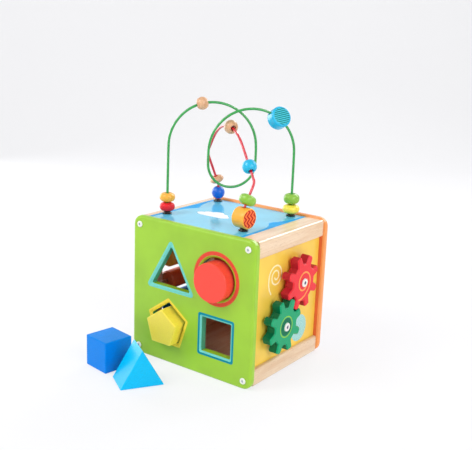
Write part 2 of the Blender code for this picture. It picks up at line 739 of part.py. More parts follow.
def build_slide_maze():
    """The knobs and the turning wheel on the back."""
    width, height = YELLOW_KNOB_SIZE
    reach = (width - height) / 2
    yellow = capsule((-reach, 0), (reach, 0), height / 2, 8)
    green = rounded_outline(polygon((0, 0), GREEN_KNOB_RADIUS, 6), GREEN_KNOB_RADIUS * 0.3, 3)
    blue = arc_points((0, 0), BLUE_KNOB_RADIUS, 0, 360, ROUND_SIDES)[:-1]
    for name, place, outline, finish in (("yellow", YELLOW_KNOB_AT, yellow, "lemon paint"),
                                         ("green", GREEN_KNOB_AT, green, "leaf paint"),
                                         ("blue", BLUE_KNOB_AT, blue, "blue paint")):
        knob(f"{name}_maze_knob", place, outline, finish)
        washer(f"{name}_maze_washer", place)

    low = HALF_DEPTH + KNOB_GAP
    rim = WHEEL_RADIUS - KNOB_EDGE
    bore = GEAR_SCREW_RADIUS + FIT_GAP
    dish = WHEEL_THICKNESS - WHEEL_DISH_DEPTH
    profile = [(bore, 0), (WHEEL_RADIUS, 0), (WHEEL_RADIUS, WHEEL_THICKNESS - KNOB_EDGE),
               (rim, WHEEL_THICKNESS), (WHEEL_DISH_RADIUS, WHEEL_THICKNESS),
               (WHEEL_DISH_RADIUS - KNOB_EDGE, dish), (bore, dish)]
    wheel = mesh_object("purple_wheel", turned(profile, ROUND_SIDES), "purple paint", smooth=True)
    stand(wheel, (WHEEL_AT[0], low, WHEEL_AT[1]), (0, 1, 0))
    head = low + dish + FIT_GAP
    length = head - INNER_BACK + GEAR_SCREW_TAIL
    headed_pin("purple_wheel_screw", (WHEEL_AT[0], head, WHEEL_AT[1]), (0, 1, 0),
               (GEAR_CAP_RADIUS, GEAR_CAP_HEIGHT), (GEAR_SCREW_RADIUS, length))


class GreenWire:
    """Two tall arches with a round loop between them, in two upright planes side by side."""

    def __init__(self):
        self.start = Vector((*FOOT_A, DECK))
        across = Vector((FOOT_B[0] - FOOT_A[0], FOOT_B[1] - FOOT_A[1], 0))
        lean = math.asin(WIRE_SIDE_STEP / across.length)
        self.span = across.length * math.cos(lean)
        self.along = Matrix.Rotation(lean, 3, "Z") @ across.normalized()
        self.side = Vector((self.along.y, -self.along.x, 0))
        self.loop_radius = ARCH_ONE_RADIUS + ARCH_TWO_RADIUS - self.span / 2

    def at(self, s, z, side=0.0):
        """A point at s along the span, z above the deck and side across it."""
        return self.start + self.along * s + self.side * side + Vector((0, 0, z))

    def arch_one_centre(self):
        return self.at(ARCH_ONE_RADIUS, ARCH_ONE_HEIGHT)

    def arch_two_centre(self):
        return self.at(self.span - ARCH_TWO_RADIUS, ARCH_TWO_HEIGHT, WIRE_SIDE_STEP)

    def points(self):
        """The wire's middle line, from foot A to foot B."""
        below = -TOP_THICKNESS - FIT_GAP
        arch = int(180 / ARC_STEP)
        one = arc_points((ARCH_ONE_RADIUS, ARCH_ONE_HEIGHT), ARCH_ONE_RADIUS, 180, 0, arch)
        loop_x = 2 * ARCH_ONE_RADIUS - self.loop_radius
        loop = arc_points((loop_x, LOOP_HEIGHT), self.loop_radius, 0, -180, arch)
        two = arc_points((self.span - ARCH_TWO_RADIUS, ARCH_TWO_HEIGHT), ARCH_TWO_RADIUS, 180, 0, arch)
        flat = [self.at(0, below)] + [self.at(s, z) for s, z in one]
        for i, (s, z) in enumerate(loop):
            share = (1 - math.cos(math.pi * i / arch)) / 2
            flat.append(self.at(s, z, WIRE_SIDE_STEP * share))
        flat += [self.at(s, z, WIRE_SIDE_STEP) for s, z in two]
        flat.append(self.at(self.span, below, WIRE_SIDE_STEP))
        return flat

    def on_arch(self, centre, radius, angle):
        """A place on an arch and the wire's direction there."""
        a = math.radians(angle)
        place = centre + self.along * radius * math.cos(a) + Vector((0, 0, radius * math.sin(a)))
        direction = self.along * math.sin(a) + Vector((0, 0, -math.cos(a)))
        return place, direction


class RedWire:
    """A bent arch from foot C to foot D: straight runs with round bends."""

    def __init__(self):
        self.start = Vector((*FOOT_C, DECK))
        across = Vector((FOOT_D[0] - FOOT_C[0], FOOT_D[1] - FOOT_C[1], 0))
        self.span = across.length
        self.along = across.normalized()
        self.side = Vector((-self.along.y, self.along.x, 0))
        below = -TOP_THICKNESS - FIT_GAP
        self.corners = [(self.at(0, 0, below), 0)]
        self.corners += [(self.at(*place), radius) for place, radius in RED_CORNERS]
        self.corners += [(self.at(self.span, 0, RED_LAST_CORNER_HEIGHT), RED_LAST_CORNER_RADIUS)]
        self.corners += [(self.at(self.span, 0, below), 0)]

    def at(self, along, side, z):
        """A point from foot C along the span, across it and above the deck."""
        return self.start + self.along * along + self.side * side + Vector((0, 0, z))

    def bend(self, number):
        """Start, end and centre of the round bend at a corner, and its axis."""
        before, here, after = (self.corners[number + k][0] for k in (-1, 0, 1))
        radius = self.corners[number][1]
        back = (before - here).normalized()
        ahead = (after - here).normalized()
        turn = math.pi - back.angle(ahead)
        reach = radius * math.tan(turn / 2)
        centre = here + (back + ahead).normalized() * radius / math.cos(turn / 2)
        axis = (-back).cross(ahead).normalized()
        return here + back * reach, here + ahead * reach, centre, axis, turn

    def points(self):
        """The wire's middle line, from foot C to foot D."""
        line = [self.corners[0][0]]
        for number in range(1, len(self.corners) - 1):
            first, _, centre, axis, turn = self.bend(number)
            steps = max(2, round(math.degrees(turn) / ARC_STEP))
            for i in range(steps + 1):
                line.append(centre + Matrix.Rotation(turn * i / steps, 3, axis) @ (first - centre))
        line.append(self.corners[-1][0])
        return line


def wire(name, points, finish):
    """A round wire with closed ends along a line of points."""
    data = bpy.data.curves.new(name, "CURVE")
    data.dimensions = "3D"
    data.bevel_depth = WIRE_RADIUS
    data.bevel_resolution = WIRE_SIDES
    data.use_fill_caps = True
    spline = data.splines.new("POLY")
    spline.points.add(len(points) - 1)
    for target, point in zip(spline.points, points):
        target.co = (*point, 1)
    item = link(name, data, finish)
    joined = item.modifiers.new("closed ends", "WELD")
    joined.merge_threshold = WELD_DISTANCE
    return item


def foot(name, place):
    """The black collar that holds a wire on the board."""
    bore = WIRE_RADIUS + FIT_GAP
    edge = FOOT_HEIGHT * 0.4
    profile = [(bore, 0), (FOOT_RADIUS, 0), (FOOT_RADIUS, FOOT_HEIGHT - edge),
               (FOOT_RADIUS - edge, FOOT_HEIGHT), (bore, FOOT_HEIGHT)]
    item = mesh_object(name, turned(profile, 16), "black plastic", smooth=True)
    return stand(item, (*place, DECK + FIT_GAP), (0, 0, 1))


def bead_profile(size, bore, fullness):
    """Half section of a bead with a straight bore, from (radius, half height).

    A fullness of 2 gives an ellipse, and more gives flatter ends and a straighter side.
    """
    radius, half = size
    limit = math.acos((bore / radius) ** (fullness / 2))
    points = []
    for i in range(BEAD_STEPS + 1):
        angle = limit * (2 * i / BEAD_STEPS - 1)
        across = math.cos(angle) ** (2 / fullness)
        along = abs(math.sin(angle)) ** (2 / fullness)
        points.append((radius * across, math.copysign(half * along, angle)))
    return points


def bead(name, size, place, direction, finish, fullness=BEAD_FULLNESS, bore_play=BORE_PLAY):
    """A turned bead threaded on a wire."""
    shape = turned(bead_profile(size, WIRE_RADIUS + bore_play, fullness), BEAD_SIDES)
    return stand(mesh_object(name, shape, finish, smooth=True), place, direction)


def drum(name, size, place, direction, face, bore_radius, finish):
    """A round drum that is bored across; face is the way one flat end looks."""
    radius, width = size
    half = width / 2
    profile = [(0, -half), (radius - DRUM_EDGE, -half), (radius, -half + DRUM_EDGE),
               (radius, half - DRUM_EDGE), (radius - DRUM_EDGE, half), (0, half)]
    item = mesh_object(name, turned(profile, 28, closed=False), finish, smooth=True)
    across = Vector(face) - Vector(direction) * Vector(face).dot(Vector(direction))
    stand(item, place, across.normalized())
    reach = Vector(direction).normalized() * radius * 1.5
    bar = rod_between(Vector(place) - reach, Vector(place) + reach, bore_radius)
    cut(item, cutter(name + "_bore", bar))
    return item


def stacked(place, sizes):
    """Heights of beads that stand on each other on a foot, as middle points."""
    height = BEAD_FLOOR
    middles = []
    for _, half in sizes:
        middles.append(Vector((*place, height + half)))
        height += 2 * half + FIT_GAP
    return middles


def build_bead_maze():
    """Wires, feet and beads on the top board."""
    green, red = GreenWire(), RedWire()
    wire("green_wire", green.points(), "green wire")
    wire("red_wire", red.points(), "red wire")
    for name, place in (("a", FOOT_A), ("b", FOOT_B), ("c", FOOT_C), ("d", FOOT_D)):
        foot("wire_foot_" + name, place)

    up = Vector((0, 0, 1))
    low, high = stacked(FOOT_A, (SMALL_BEAD, ORANGE_BEAD))
    bead("red_bead", SMALL_BEAD, low, up, "red paint")
    bead("orange_bead", ORANGE_BEAD, high, up, "orange paint")
    low, high = stacked(FOOT_B, (WIDE_BEAD, GREEN_BEAD))
    bead("yellow_bead", WIDE_BEAD, low, up, "lemon paint")
    bead("green_bead", GREEN_BEAD, high, up, "leaf paint")
    low = stacked(FOOT_C, (BLUE_BALL,))[0]
    bead("blue_ball", BLUE_BALL, low, up, "deep blue paint", BALL_FULLNESS)

    place, direction = red_run_place(red, 1, WOOD_DISC[1] + FIT_GAP)
    bead("wood_disc", WOOD_DISC, place, direction, "bare wood", BALL_FULLNESS)
    place, direction = red_run_place(red, 3, None, CYAN_BEAD_SHARE)
    bead("cyan_bead", CYAN_BEAD, place, direction, "cyan paint")
    place, direction = red_run_place(red, 5, OVAL_BEAD[1] + OVAL_BEAD_LIFT, from_end=True)
    bead("oval_bead", OVAL_BEAD, place, direction, "leaf paint")

    drum_height = BEAD_FLOOR + ORANGE_DRUM[0]
    turn = math.radians(ORANGE_DRUM_TURN)
    drum("orange_drum", ORANGE_DRUM, (*FOOT_D, drum_height), up, (math.cos(turn), math.sin(turn), 0),
         WIRE_RADIUS + BORE_PLAY, "orange paint")

    centre = green.arch_one_centre()
    place, direction = green.on_arch(centre, ARCH_ONE_RADIUS, ARCH_BALL_ANGLE)
    ball = bead("wood_ball", ARCH_BALL, place, direction, "bare wood", BALL_FULLNESS, ARC_BORE_PLAY)
    hang(ball, "front_arch_centre", centre)
    centre = green.arch_two_centre()
    place, direction = green.on_arch(centre, ARCH_TWO_RADIUS, CYAN_DRUM_ANGLE)
    barrel = drum("cyan_drum", CYAN_DRUM, place, direction, (1, 0, 0), DRUM_BORE_RADIUS, "cyan paint")
    hang(barrel, "back_arch_centre", centre)

    _, _, centre, axis, _ = red.bend(3)
    crown = red.corners[3][0] - centre
    arm = Matrix.Rotation(math.radians(RED_BALL_ANGLE), 3, axis) @ crown.normalized() * red.corners[3][1]
    ball = bead("wood_ball_red_wire", RED_WIRE_BALL, centre + arm, axis.cross(arm), "bare wood",
                BALL_FULLNESS, ARC_BORE_PLAY)
    hang(ball, "red_arch_centre", centre)


def red_run_place(red, corner, distance, share=None, from_end=False):
    """A place on the straight run after a corner, or before it when from_end is set."""
    if from_end:
        start, end = red.bend(corner)[0], red.bend(corner - 1)[1]
    else:
        start, end = red.bend(corner)[1], red.bend(corner + 1)[0]
    run = end - start
    step = distance if share is None else run.length * share
    return start + run.normalized() * step, run.normalized()


def build_blocks():
    """The four sorting blocks: two rest in their holes, two lie on the floor."""
    radius = CIRCLE_HOLE_RADIUS - CIRCLE_PLAY
    shape = prism(arc_points((0, 0), radius, 0, 360, ROUND_SIDES)[:-1], 0, BLOCK_LENGTH, "Y")
    block = mesh_object("cylinder_block", all_edges_eased(shape, BLOCK_EDGE), "coral paint", smooth=True)
    block.location = (CIRCLE_AT[0], -HALF_DEPTH - CYLINDER_PROUD, CIRCLE_AT[1] - CIRCLE_PLAY + FIT_GAP)
    radius = PENTAGON_HOLE_RADIUS - PENTAGON_PLAY
    drop = PENTAGON_PLAY * math.cos(math.pi / 5) - FIT_GAP
    shape = prism(polygon((0, 0), radius, 5), 0, BLOCK_LENGTH, "Y")
    block = mesh_object("pentagon_block", all_edges_eased(shape, BLOCK_EDGE), "lemon paint")
    block.location = (PENTAGON_AT[0], -HALF_DEPTH - PENTAGON_PROUD, PENTAGON_AT[1] - drop)

    side = SQUARE_HOLE_SIDE - 2 * SQUARE_PLAY
    outline = square_corners((0, side / 2), side)
    shape = all_edges_eased(prism(outline, -side / 2, side / 2, "Y"), BLOCK_EDGE)
    block = mesh_object("cube_block", shape, "blue paint")
    block.location = (*LOOSE_CUBE_AT, 0)
    block.rotation_euler = (0, 0, math.radians(LOOSE_CUBE_TURN))

    side = TRIANGLE_HOLE_SIDE - 2 * math.sqrt(3) * TRIANGLE_PLAY
    height = side / (2 * math.sqrt(3))
    outline = triangle_corners((0, height), side)
    shape = all_edges_eased(prism(outline, -BLOCK_LENGTH / 2, BLOCK_LENGTH / 2, "Y"), BLOCK_EDGE)
    block = mesh_object("triangle_block", shape, "cyan paint")
    block.location = (*LOOSE_PRISM_AT, 0)
    block.rotation_euler = (0, 0, math.radians(90 + LOOSE_PRISM_TURN))


def build_box():
    """Covers, beams, boards and screws."""
    front_bores = screw_bores("front", -HALF_DEPTH, 1)
    back_bores = screw_bores("back", HALF_DEPTH, -1)
    front_cover(front_bores)
    back_cover(back_bores)
    for level, top in (("top", True), ("bottom", False)):
        for hand, side in (("left", -1), ("right", 1)):
            beam(f"{level}_{hand}_beam", side, top, (front_bores, back_bores))
    right_panel()
    left_panel()
    top_board()
    base_board()
    for place, x, z in screw_places():
        head = (SCREW_HEAD_RADIUS, SCREW_HEAD_HEIGHT)
        shank = (SCREW_RADIUS, SCREW_LENGTH)
        headed_pin(f"front_screw_{place}", (x, -HALF_DEPTH - FIT_GAP, z), (0, -1, 0), head, shank)
        headed_pin(f"back_screw_{place}", (x, HALF_DEPTH + FIT_GAP, z), (0, 1, 0), head, shank)


def main():
    clear_scene()
    build_box()
    build_gears()
    build_rollers()
    build_slide_maze()
    build_bead_maze()
    build_blocks()


main()
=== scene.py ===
"""Looks of the wooden activity cube: finishes, screw caps, drums, printed motifs, studio and camera.

Places are in metres in the part's own frame. Sizes in finishes and in the outlines of prints are in
millimetres.
"""

import json
import math

import bmesh
import bpy
from mathutils import Matrix, Vector

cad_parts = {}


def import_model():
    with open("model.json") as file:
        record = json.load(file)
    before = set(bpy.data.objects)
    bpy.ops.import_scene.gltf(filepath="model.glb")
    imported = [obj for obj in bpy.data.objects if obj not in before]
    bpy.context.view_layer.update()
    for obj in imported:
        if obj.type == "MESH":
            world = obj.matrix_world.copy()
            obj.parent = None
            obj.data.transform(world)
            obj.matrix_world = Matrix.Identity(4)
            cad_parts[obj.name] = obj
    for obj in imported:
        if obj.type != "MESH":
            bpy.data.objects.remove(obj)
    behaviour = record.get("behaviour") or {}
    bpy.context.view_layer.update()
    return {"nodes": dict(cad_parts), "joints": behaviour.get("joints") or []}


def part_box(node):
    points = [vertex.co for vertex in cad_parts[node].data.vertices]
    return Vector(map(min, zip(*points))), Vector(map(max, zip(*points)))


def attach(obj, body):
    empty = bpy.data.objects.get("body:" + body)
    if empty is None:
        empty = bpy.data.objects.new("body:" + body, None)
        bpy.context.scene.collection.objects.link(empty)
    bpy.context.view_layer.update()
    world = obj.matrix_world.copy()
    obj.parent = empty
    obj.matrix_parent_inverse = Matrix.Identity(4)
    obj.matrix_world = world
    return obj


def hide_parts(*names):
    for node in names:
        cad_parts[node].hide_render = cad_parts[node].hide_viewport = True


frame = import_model()

MM = 0.001
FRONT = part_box("front_cover")[0].y
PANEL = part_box("right_panel")[1].x
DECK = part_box("top_board")[1].z
GEAR_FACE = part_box("red_gear")[1].x
INK_HEIGHT = 0.05 * MM
SHARP_ANGLE = 35


# Colours and shader nodes

def srgb(code, shade=1.0):
    """A hex colour as linear RGBA, darker or lighter by a factor."""
    linear = []
    for i in (0, 2, 4):
        value = int(code[i:i + 2], 16) / 255
        value = value / 12.92 if value <= 0.04045 else ((value + 0.055) / 1.055) ** 2.4
        linear.append(min(1.0, value * shade))
    return (*linear, 1.0)


def add(tree, kind, inputs=(), **settings):
    """A shader node with its settings.

    Its inputs are a row for the first ones or a dict by name or number. A node or a socket is linked, and
    anything else is set as the input's value.
    """
    made = tree.nodes.new("ShaderNode" + kind)
    for name, value in settings.items():
        setattr(made, name, value)
    for key, value in inputs.items() if isinstance(inputs, dict) else enumerate(inputs):
        if isinstance(value, bpy.types.Node):
            value = next(socket for socket in value.outputs if socket.enabled)
        if isinstance(value, bpy.types.NodeSocket):
            tree.links.new(value, made.inputs[key])
        else:
            made.inputs[key].default_value = value
    return made


def new_material(name):
    """A material, its node tree and the coordinates of its piece in metres."""
    made = bpy.data.materials.new(name)
    made.use_nodes = True
    tree = made.node_tree
    tree.nodes.clear()
    return made, tree, add(tree, "TexCoord").outputs["Object"]


def along(axis, length):
    """The scale that turns metres to millimetres and makes features so many times longer along one axis."""
    scale = [1000, 1000, 1000]
    scale["XYZ".index(axis)] = 1000 / length
    return scale


MILLIMETRES = (1000, 1000, 1000)
SHARE, FIRST, SECOND = 0, 6, 7  # the inputs of a Mix node that mixes colours


# Finishes

# A MapRange row is a pattern, its low and high value, and what these two become, or else 0 and 1.
# Coordinates are turned to millimetres, so a pattern's scale is 1 over its width in millimetres.

def lacquered_board(name, colour, roughness, coat=0.12, lift=1.05):
    """Sprayed lacquer on fibreboard: faint clouds in the colour, and orange peel that softens the gloss.

    The peel of sprayed lacquer is 1 to 2 mm wide. Specks of 0.2 mm are drawn 0.9 mm wide, so that they show.
    """
    made, tree, metres = new_material(name)
    cloud_mm = 38
    speck_mm = 0.9
    peel_mm = 1.6
    peel_depth = 0.02 * MM
    place = add(tree, "Mapping", {"Vector": metres, "Scale": MILLIMETRES})
    clouds = add(tree, "TexNoise", {"Vector": place, "Scale": 1 / cloud_mm, "Detail": 3})
    specks = add(tree, "TexNoise", {"Vector": place, "Scale": 1 / speck_mm})
    peel = add(tree, "TexNoise", {"Vector": place, "Scale": 1 / peel_mm})
    tone = add(tree, "Mix", {SHARE: add(tree, "MapRange", (clouds, 0.35, 0.65)),
                             FIRST: srgb(colour, 0.93), SECOND: srgb(colour, lift)}, data_type="RGBA")
    tone = add(tree, "Mix", {SHARE: add(tree, "MapRange", (specks, 0.55, 0.8, 0, 0.10)),
                             FIRST: tone, SECOND: srgb(colour, 0.80)}, data_type="RGBA")
    shader = add(tree, "BsdfPrincipled", {
        "Base Color": tone,
        "Roughness": add(tree, "MapRange", (clouds, 0.3, 0.7, roughness - 0.05, roughness + 0.06)),
        "IOR": 1.5,
        "Coat Weight": coat,
        "Coat Roughness": 0.15,
        "Normal": add(tree, "Bump", {"Height": peel, "Distance": peel_depth}),
    })
    add(tree, "OutputMaterial", {"Surface": shader})
    return made


def bare_beech(name, axis, light, dark):
    """Planed and sanded beech under thin clear varnish: soft bands and short darker flecks along the grain.

    Year rings cut at a slant show 3 to 8 mm wide, and the flecks, which are rays, 0.5 to 1 mm. Pores of
    0.1 mm are drawn 0.55 mm wide, so that they show.
    """
    made, tree, metres = new_material(name)
    ring_mm = 5.5
    pore_mm = 0.55
    ray_mm = 0.7
    pore_depth = 0.05 * MM
    grain_length = 14
    ray_length = 14 ** 0.75
    place = add(tree, "Mapping", {"Vector": metres, "Scale": along(axis, grain_length)})
    ray_place = add(tree, "Mapping", {"Vector": metres, "Scale": along(axis, ray_length)})
    rings = add(tree, "TexNoise", {"Vector": place, "Scale": 1 / ring_mm, "Detail": 3, "Roughness": 0.55,
                                   "Distortion": 0.6})
    pores = add(tree, "TexNoise", {"Vector": place, "Scale": 1 / pore_mm, "Detail": 3, "Roughness": 0.6})
    rays = add(tree, "TexNoise", {"Vector": ray_place, "Scale": 1 / ray_mm, "Detail": 1})
    tone = add(tree, "Mix", {SHARE: add(tree, "MapRange", (rings, 0.32, 0.68)),
                             FIRST: srgb(light), SECOND: srgb(dark)}, data_type="RGBA")
    tone = add(tree, "Mix", {SHARE: add(tree, "MapRange", (pores, 0.35, 0.75, 0, 0.35)),
                             FIRST: tone, SECOND: srgb(dark, 0.9)}, data_type="RGBA")
    tone = add(tree, "Mix", {SHARE: add(tree, "MapRange", (rays, 0.66, 0.74, 0, 0.5)),
                             FIRST: tone, SECOND: srgb("B98A5E")}, data_type="RGBA")
    shader = add(tree, "BsdfPrincipled", {
        "Base Color": tone,
        "Roughness": add(tree, "MapRange", (pores, 0.2, 0.8, 0.42, 0.56)),
        "IOR": 1.5,
        "Coat Weight": 0.6,
        "Coat Roughness": 0.16,
        "Normal": add(tree, "Bump", {"Height": pores, "Distance": pore_depth}),
    })
    add(tree, "OutputMaterial", {"Surface": shader})
    return made


def painted_wood(name, colour, axis="Z", coat=0.10, gloss=0.3):
    """Glossy paint tumbled onto beech: the grain shows faintly in the colour and as fine raised lines.

    Grain lines of 0.2 mm are drawn 0.8 mm wide, so that they show. The paint is thicker in 9 mm clouds.
    """
    made, tree, metres = new_material(name)
    grain_mm = 0.8
    grain_length = 9
    cloud_mm = 9
    grain_depth = 0.04 * MM
    place = add(tree, "Mapping", {"Vector": metres, "Scale": along(axis, grain_length)})
    even_place = add(tree, "Mapping", {"Vector": metres, "Scale": MILLIMETRES})
    grain = add(tree, "TexNoise", {"Vector": place, "Scale": 1 / grain_mm, "Detail": 3, "Roughness": 0.6})
    clouds = add(tree, "TexNoise", {"Vector": even_place, "Scale": 1 / cloud_mm})
    tone = add(tree, "Mix", {SHARE: add(tree, "MapRange", (grain, 0.35, 0.7)),
                             FIRST: srgb(colour, 1.08), SECOND: srgb(colour, 0.90)}, data_type="RGBA")
    tone = add(tree, "Mix", {SHARE: add(tree, "MapRange", (clouds, 0.3, 0.7, 0, 0.35)),
                             FIRST: tone, SECOND: srgb(colour, 0.95)}, data_type="RGBA")
    shader = add(tree, "BsdfPrincipled", {
        "Base Color": tone,
        "Roughness": add(tree, "MapRange", (grain, 0.25, 0.75, 0.25, 0.38)),
        "IOR": 1.5,
        "Specular IOR Level": gloss,
        "Coat Weight": coat,
        "Coat Roughness": 0.12,
        "Normal": add(tree, "Bump", {"Height": grain, "Distance": grain_depth}),
    })
    add(tree, "OutputMaterial", {"Surface": shader})
    return made


def raw_board(name, colour):
    """Pressed fibreboard without a coat, inside the box: dull, with short mixed fibres.

    Fibres of 0.1 mm are drawn 0.7 mm wide, so that they show.
    """
    made, tree, metres = new_material(name)
    fibre_mm = 0.7
    cloud_mm = 14
    fibre_depth = 0.06 * MM
    place = add(tree, "Mapping", {"Vector": metres, "Scale": MILLIMETRES})
    fibres = add(tree, "TexNoise", {"Vector": place, "Scale": 1 / fibre_mm, "Detail": 4, "Roughness": 0.7,
                                    "Distortion": 1.2})
    clouds = add(tree, "TexNoise", {"Vector": place, "Scale": 1 / cloud_mm})
    tone = add(tree, "Mix", {SHARE: add(tree, "MapRange", (fibres, 0.35, 0.7)),
                             FIRST: srgb(colour, 1.15), SECOND: srgb(colour, 0.78)}, data_type="RGBA")
    tone = add(tree, "Mix", {SHARE: add(tree, "MapRange", (clouds, 0.3, 0.7, 0, 0.3)),
                             FIRST: tone, SECOND: srgb(colour, 0.85)}, data_type="RGBA")
    shader = add(tree, "BsdfPrincipled", {
        "Base Color": tone,
        "Roughness": 0.8,
        "IOR": 1.5,
        "Normal": add(tree, "Bump", {"Height": fibres, "Distance": fibre_depth}),
    })
    add(tree, "OutputMaterial", {"Surface": shader})
    return made


def moulded_plastic(name, colour, roughness=0.32, grain_depth=0.01 * MM):
    """Injection moulded polypropylene: an even colour with a soft sheen from the grain of the mould.

    Mould grain of 0.05 mm is drawn 0.25 mm wide, so that it softens the gloss.
    """
    made, tree, metres = new_material(name)
    grain_mm = 0.25
    cloud_mm = 5
    place = add(tree, "Mapping", {"Vector": metres, "Scale": MILLIMETRES})
    grain = add(tree, "TexNoise", {"Vector": place, "Scale": 1 / grain_mm})
    clouds = add(tree, "TexNoise", {"Vector": place, "Scale": 1 / cloud_mm})
    tone = add(tree, "Mix", {SHARE: add(tree, "MapRange", (clouds, 0.3, 0.7)),
                             FIRST: srgb(colour), SECOND: srgb(colour, 0.92)}, data_type="RGBA")
    shader = add(tree, "BsdfPrincipled", {
        "Base Color": tone,
        "Roughness": add(tree, "MapRange", (clouds, 0.3, 0.7, roughness - 0.04, roughness + 0.06)),
        "IOR": 1.5,
        "Normal": add(tree, "Bump", {"Height": grain, "Distance": grain_depth}),
    })
    add(tree, "OutputMaterial", {"Surface": shader})
    return made


def coated_wire(name, colour):
    """Vinyl baked onto steel wire: a glossy coat that varies a little in thickness and tone along the wire.

    The coat has 4 mm clouds and ripples about 1 mm wide.
    """
    made, tree, metres = new_material(name)
    cloud_mm = 4
    ripple_mm = 0.9
    ripple_depth = 0.01 * MM
    place = add(tree, "Mapping", {"Vector": metres, "Scale": MILLIMETRES})
    clouds = add(tree, "TexNoise", {"Vector": place, "Scale": 1 / cloud_mm})
    ripples = add(tree, "TexNoise", {"Vector": place, "Scale": 1 / ripple_mm})
    tone = add(tree, "Mix", {SHARE: add(tree, "MapRange", (clouds, 0.3, 0.7)),
                             FIRST: srgb(colour, 0.9), SECOND: srgb(colour, 1.1)}, data_type="RGBA")
    shader = add(tree, "BsdfPrincipled", {
        "Base Color": tone,
        "Roughness": add(tree, "MapRange", (clouds, 0.3, 0.7, 0.2, 0.3)),
        "IOR": 1.5,
        "Coat Weight": 0.6,
        "Coat Roughness": 0.08,
        "Normal": add(tree, "Bump", {"Height": ripples, "Distance": ripple_depth}),
    })
    add(tree, "OutputMaterial", {"Surface": shader})
    return made


def drawn_steel(name):
    """Steel rod drawn through a die: bright, with fine marks along its length that smear the gloss.

    Die marks of 0.02 mm are drawn 0.2 mm wide and 6 mm long, so that they show.
    """
    made, tree, metres = new_material(name)
    mark_mm = 0.2
    mark_length = 30
    mark_depth = 0.004 * MM
    place = add(tree, "Mapping", {"Vector": metres, "Scale": along("Y", mark_length)})
    marks = add(tree, "TexNoise", {"Vector": place, "Scale": 1 / mark_mm})
    tone = add(tree, "Mix", {SHARE: marks, FIRST: srgb("A9A9AB"), SECOND: srgb("D4D4D6")}, data_type="RGBA")
    shader = add(tree, "BsdfPrincipled", {
        "Base Color": tone,
        "Metallic": 1.0,
        "Roughness": add(tree, "MapRange", (marks, 0.3, 0.7, 0.22, 0.38)),
        "Normal": add(tree, "Bump", {"Height": marks, "Distance": mark_depth}),
    })
    add(tree, "OutputMaterial", {"Surface": shader})
    return made


def print_ink(name, colour, second=None, pattern=None):
    """Screen printed ink: flat colour, slightly matt, with pinholes and the faint relief of the screen.

    Pinholes of 0.1 mm are drawn 0.35 mm wide and the screen's weave of 0.2 mm is drawn 0.5 mm wide, so that
    they show. A pattern lays a second colour on the first.
    """
    made, tree, metres = new_material(name)
    cloud_mm = 3
    pinhole_mm = 0.35
    sheen_mm = 1.2
    weave_mm = 0.5
    weave_depth = 0.008 * MM
    place = add(tree, "Mapping", {"Vector": metres, "Scale": MILLIMETRES})
    clouds = add(tree, "TexNoise", {"Vector": place, "Scale": 1 / cloud_mm, "Detail": 3})
    pinholes = add(tree, "TexNoise", {"Vector": place, "Scale": 1 / pinhole_mm, "Detail": 1})
    sheen = add(tree, "TexNoise", {"Vector": place, "Scale": 1 / sheen_mm})
    weave = add(tree, "TexNoise", {"Vector": place, "Scale": 1 / weave_mm})
    tone = add(tree, "Mix", {SHARE: add(tree, "MapRange", (clouds, 0.35, 0.65)),
                             FIRST: srgb(colour, 0.96), SECOND: srgb(colour, 1.05)}, data_type="RGBA")
    if pattern:
        tone = add(tree, "Mix", {SHARE: pattern(tree, place), FIRST: tone, SECOND: srgb(second)},
                   data_type="RGBA")
    tone = add(tree, "Mix", {SHARE: add(tree, "MapRange", (pinholes, 0.70, 0.78, 0, 0.35)),
                             FIRST: tone, SECOND: srgb(colour, 0.8)}, data_type="RGBA")
    shader = add(tree, "BsdfPrincipled", {
        "Base Color": tone,
        "Roughness": add(tree, "MapRange", (sheen, 0.3, 0.7, 0.34, 0.46)),
        "IOR": 1.5,
        "Specular IOR Level": 0.1,
        "Normal": add(tree, "Bump", {"Height": weave, "Distance": weave_depth}),
    })
    add(tree, "OutputMaterial", {"Surface": shader})
    return made


def zigzags(tree, place):
    """Upright zigzag lines 2.3 mm wide and 5 mm apart, whose points come every 7 mm."""
    half_wave = 3.5
    slope = 1.05
    half_gap = 2.5
    half_line = 1.15
    axes = add(tree, "SeparateXYZ", (place,)).outputs
    wave = add(tree, "Math", (axes["Y"], half_wave), operation="PINGPONG")
    rise = add(tree, "Math", (wave, slope), operation="MULTIPLY")
    level = add(tree, "Math", (axes["X"], rise), operation="ADD")
    lines = add(tree, "Math", (level, half_gap), operation="PINGPONG")
    return add(tree, "Math", (lines, half_line), operation="LESS_THAN")


def fine_stripes(tree, place):
    """Straight lines 1 mm wide and 2.2 mm apart."""
    half_gap = 1.1
    half_line = 0.5
    axes = add(tree, "SeparateXYZ", (place,)).outputs
    lines = add(tree, "Math", (axes["Y"], half_gap), operation="PINGPONG")
    return add(tree, "Math", (lines, half_line), operation="LESS_THAN")


def dots(tree, place):
    """Rows of small round dots 0.94 mm across and 1.5 mm apart."""
    gap = 1.5
    radius_squared = 0.22
    axes = add(tree, "SeparateXYZ", (place,)).outputs
    squares = []
    for axis in (axes["X"], axes["Y"]):
        wave = add(tree, "Math", (axis, gap), operation="PINGPONG")
        off_centre = add(tree, "Math", (wave, gap / 2), operation="SUBTRACT")
        squares.append(add(tree, "Math", (off_centre, 2), operation="POWER"))
    distance = add(tree, "Math", squares, operation="ADD")
    return add(tree, "Math", (distance, radius_squared), operation="LESS_THAN")


